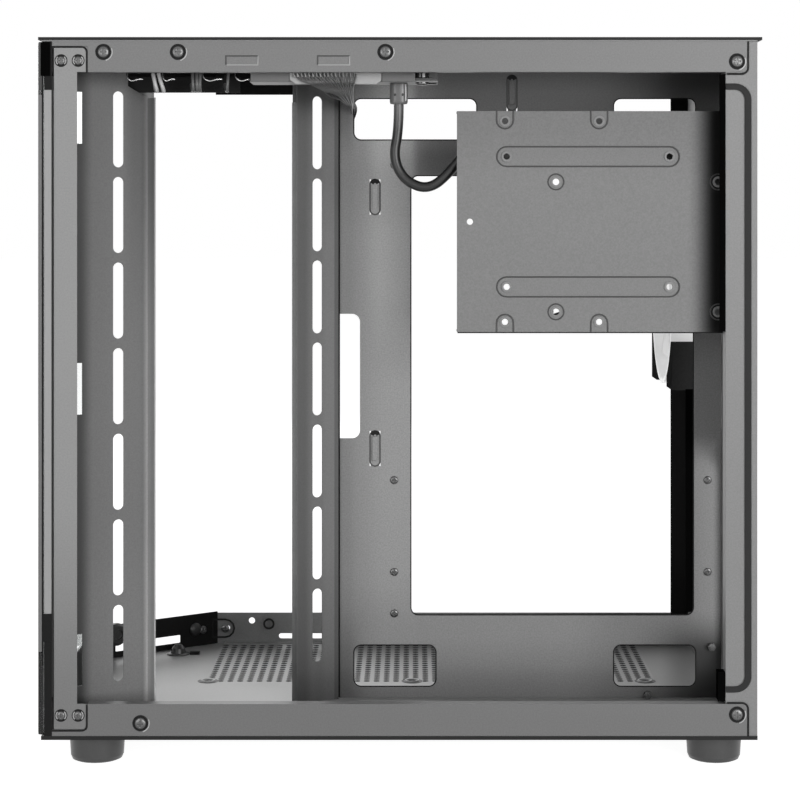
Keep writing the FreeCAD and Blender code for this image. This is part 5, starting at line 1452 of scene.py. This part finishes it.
def makeFarCorner():
    plan = farPlan
    along, inward = slantDirections()
    work = bmesh.new()
    low = Vector((*plan["slantFrom"], plan["coverLow"]))
    middle = (low + Vector((*plan["slantTo"], plan["coverHigh"]))) / 2
    turn = Matrix((along, inward, (0, 0, 1))).transposed().to_4x4()
    tall = plan["coverHigh"] - plan["coverLow"]
    size = Matrix.Diagonal((*metres(plan["coverLong"], plan["coverThick"], tall), 1))
    bmesh.ops.create_cube(work, size=1.0, matrix=Matrix.Translation(metres(*middle)) @ turn @ size)
    addPiece("upperCornerSeal", meshFrom(work, "upperCornerSeal"), "dark", slot="dark_paint")
    reach = plan["bossReach"]
    deep = plan["bossDeep"]
    profile = [(0, 0), (reach, 0), (reach, deep * 0.6), (reach * 0.8, deep), (reach * 0.45, deep),
               (reach * 0.4, deep * 0.7), (0, deep * 0.7)]
    turnedPiece("cornerBoss", profile, 32, inward, plan["boss"], "plastic", slot="black_plastic")
    reach = plan["domeReach"]
    profile = [(0, 0), (reach, 0), (reach * 0.8, 1.0), (reach * 0.4, 1.6), (0, 1.8)]
    turnedPiece("railDimple", profile, 28, inward, plan["dome"], "plastic", slot="dark_paint")
    profile = [(0, 0), (2.8, 0), (2.8, 0.5), (0, 0.5)]
    turnedPiece("holePlug", profile, 20, inward, plan["plugged"], "dark", slot="dark_paint")
    for name, (finish, low, high) in shadeBoxes.items():
        boxPiece(name, [(low, high)], finish)


def makeStudsAndScrews():
    plan = farPlan
    reach = plan["studReach"]
    profile = [(0, 0), (reach, 0), (reach, 0.7), (reach * 0.8, 1.1), (0, 1.1)]
    turnedPiece("studBase", profile, 28, (0, 0, 1), (*plan["studBase"], floorLevel), "plastic",
                slot="black_plastic")
    reach = plan["postReach"]
    tall = plan["postTall"]
    post = lathe("hexPost", [(0, 0), (reach, 0), (reach, tall), (reach * 0.6, tall),
                             (reach * 0.6, tall + 0.6), (0, tall + 0.6)], 6, outward)
    copiesPiece("hexPosts", plan["posts"], post, "darkScrew", slot="screw_steel")
    axes = (slantDirections()[1], outward)
    for name, place, axis in zip(("cornerScrewHeads", "railEndScrew"), plan["screws"], axes):
        copiesPiece(name, [place], screwMesh(name + "Shape", axis), "screw", screwSizes["cornerSize"],
                    slot="screw_steel")


def makeRings():
    plan = farPlan
    x, z = plan["tab"]
    line = corner(x, z, 6.2, 90, -90) + [(x - 9.0, z - 6.2), (x - 9.0, z + 6.2)]
    x, z = plan["ring"]
    # The tab's outline and the ring beside it are dark bands of painted shade
    ribbonPiece("railTabLine", [(line, 1.2, True), (ring(x, z, 3.3), 1.3, True)], 132.5, "groove")
    reach = plan["ringReach"]
    places = [(x, y, floorLevel) for x, y in plan["rings"]]
    # The rings' holes and the outline round them are dark discs and rings of painted shade
    profiles = {
        "floorRings": ("edgeStrip", 32, [(reach * 0.55, 0), (reach * 0.7, 0.9), (reach * 0.9, 0.9),
                                         (reach, 0)]),
        "floorRingHoles": ("groove", 24, [(0, 0), (reach * 0.5, 0), (reach * 0.5, 0.25), (0, 0.25)]),
        "floorRingShade": ("press", 32, [(reach, 0), (reach, 0.2), (reach * 1.3, 0.2), (reach * 1.3, 0)]),
    }
    for name, (finish, count, profile) in profiles.items():
        copiesPiece(name, places, lathe(name + "Shape", profile, count), finish)


makeFanCasing()
makeFarCorner()
makeStudsAndScrews()
makeRings()
makeGlassTopEdge()
print("pieces done")
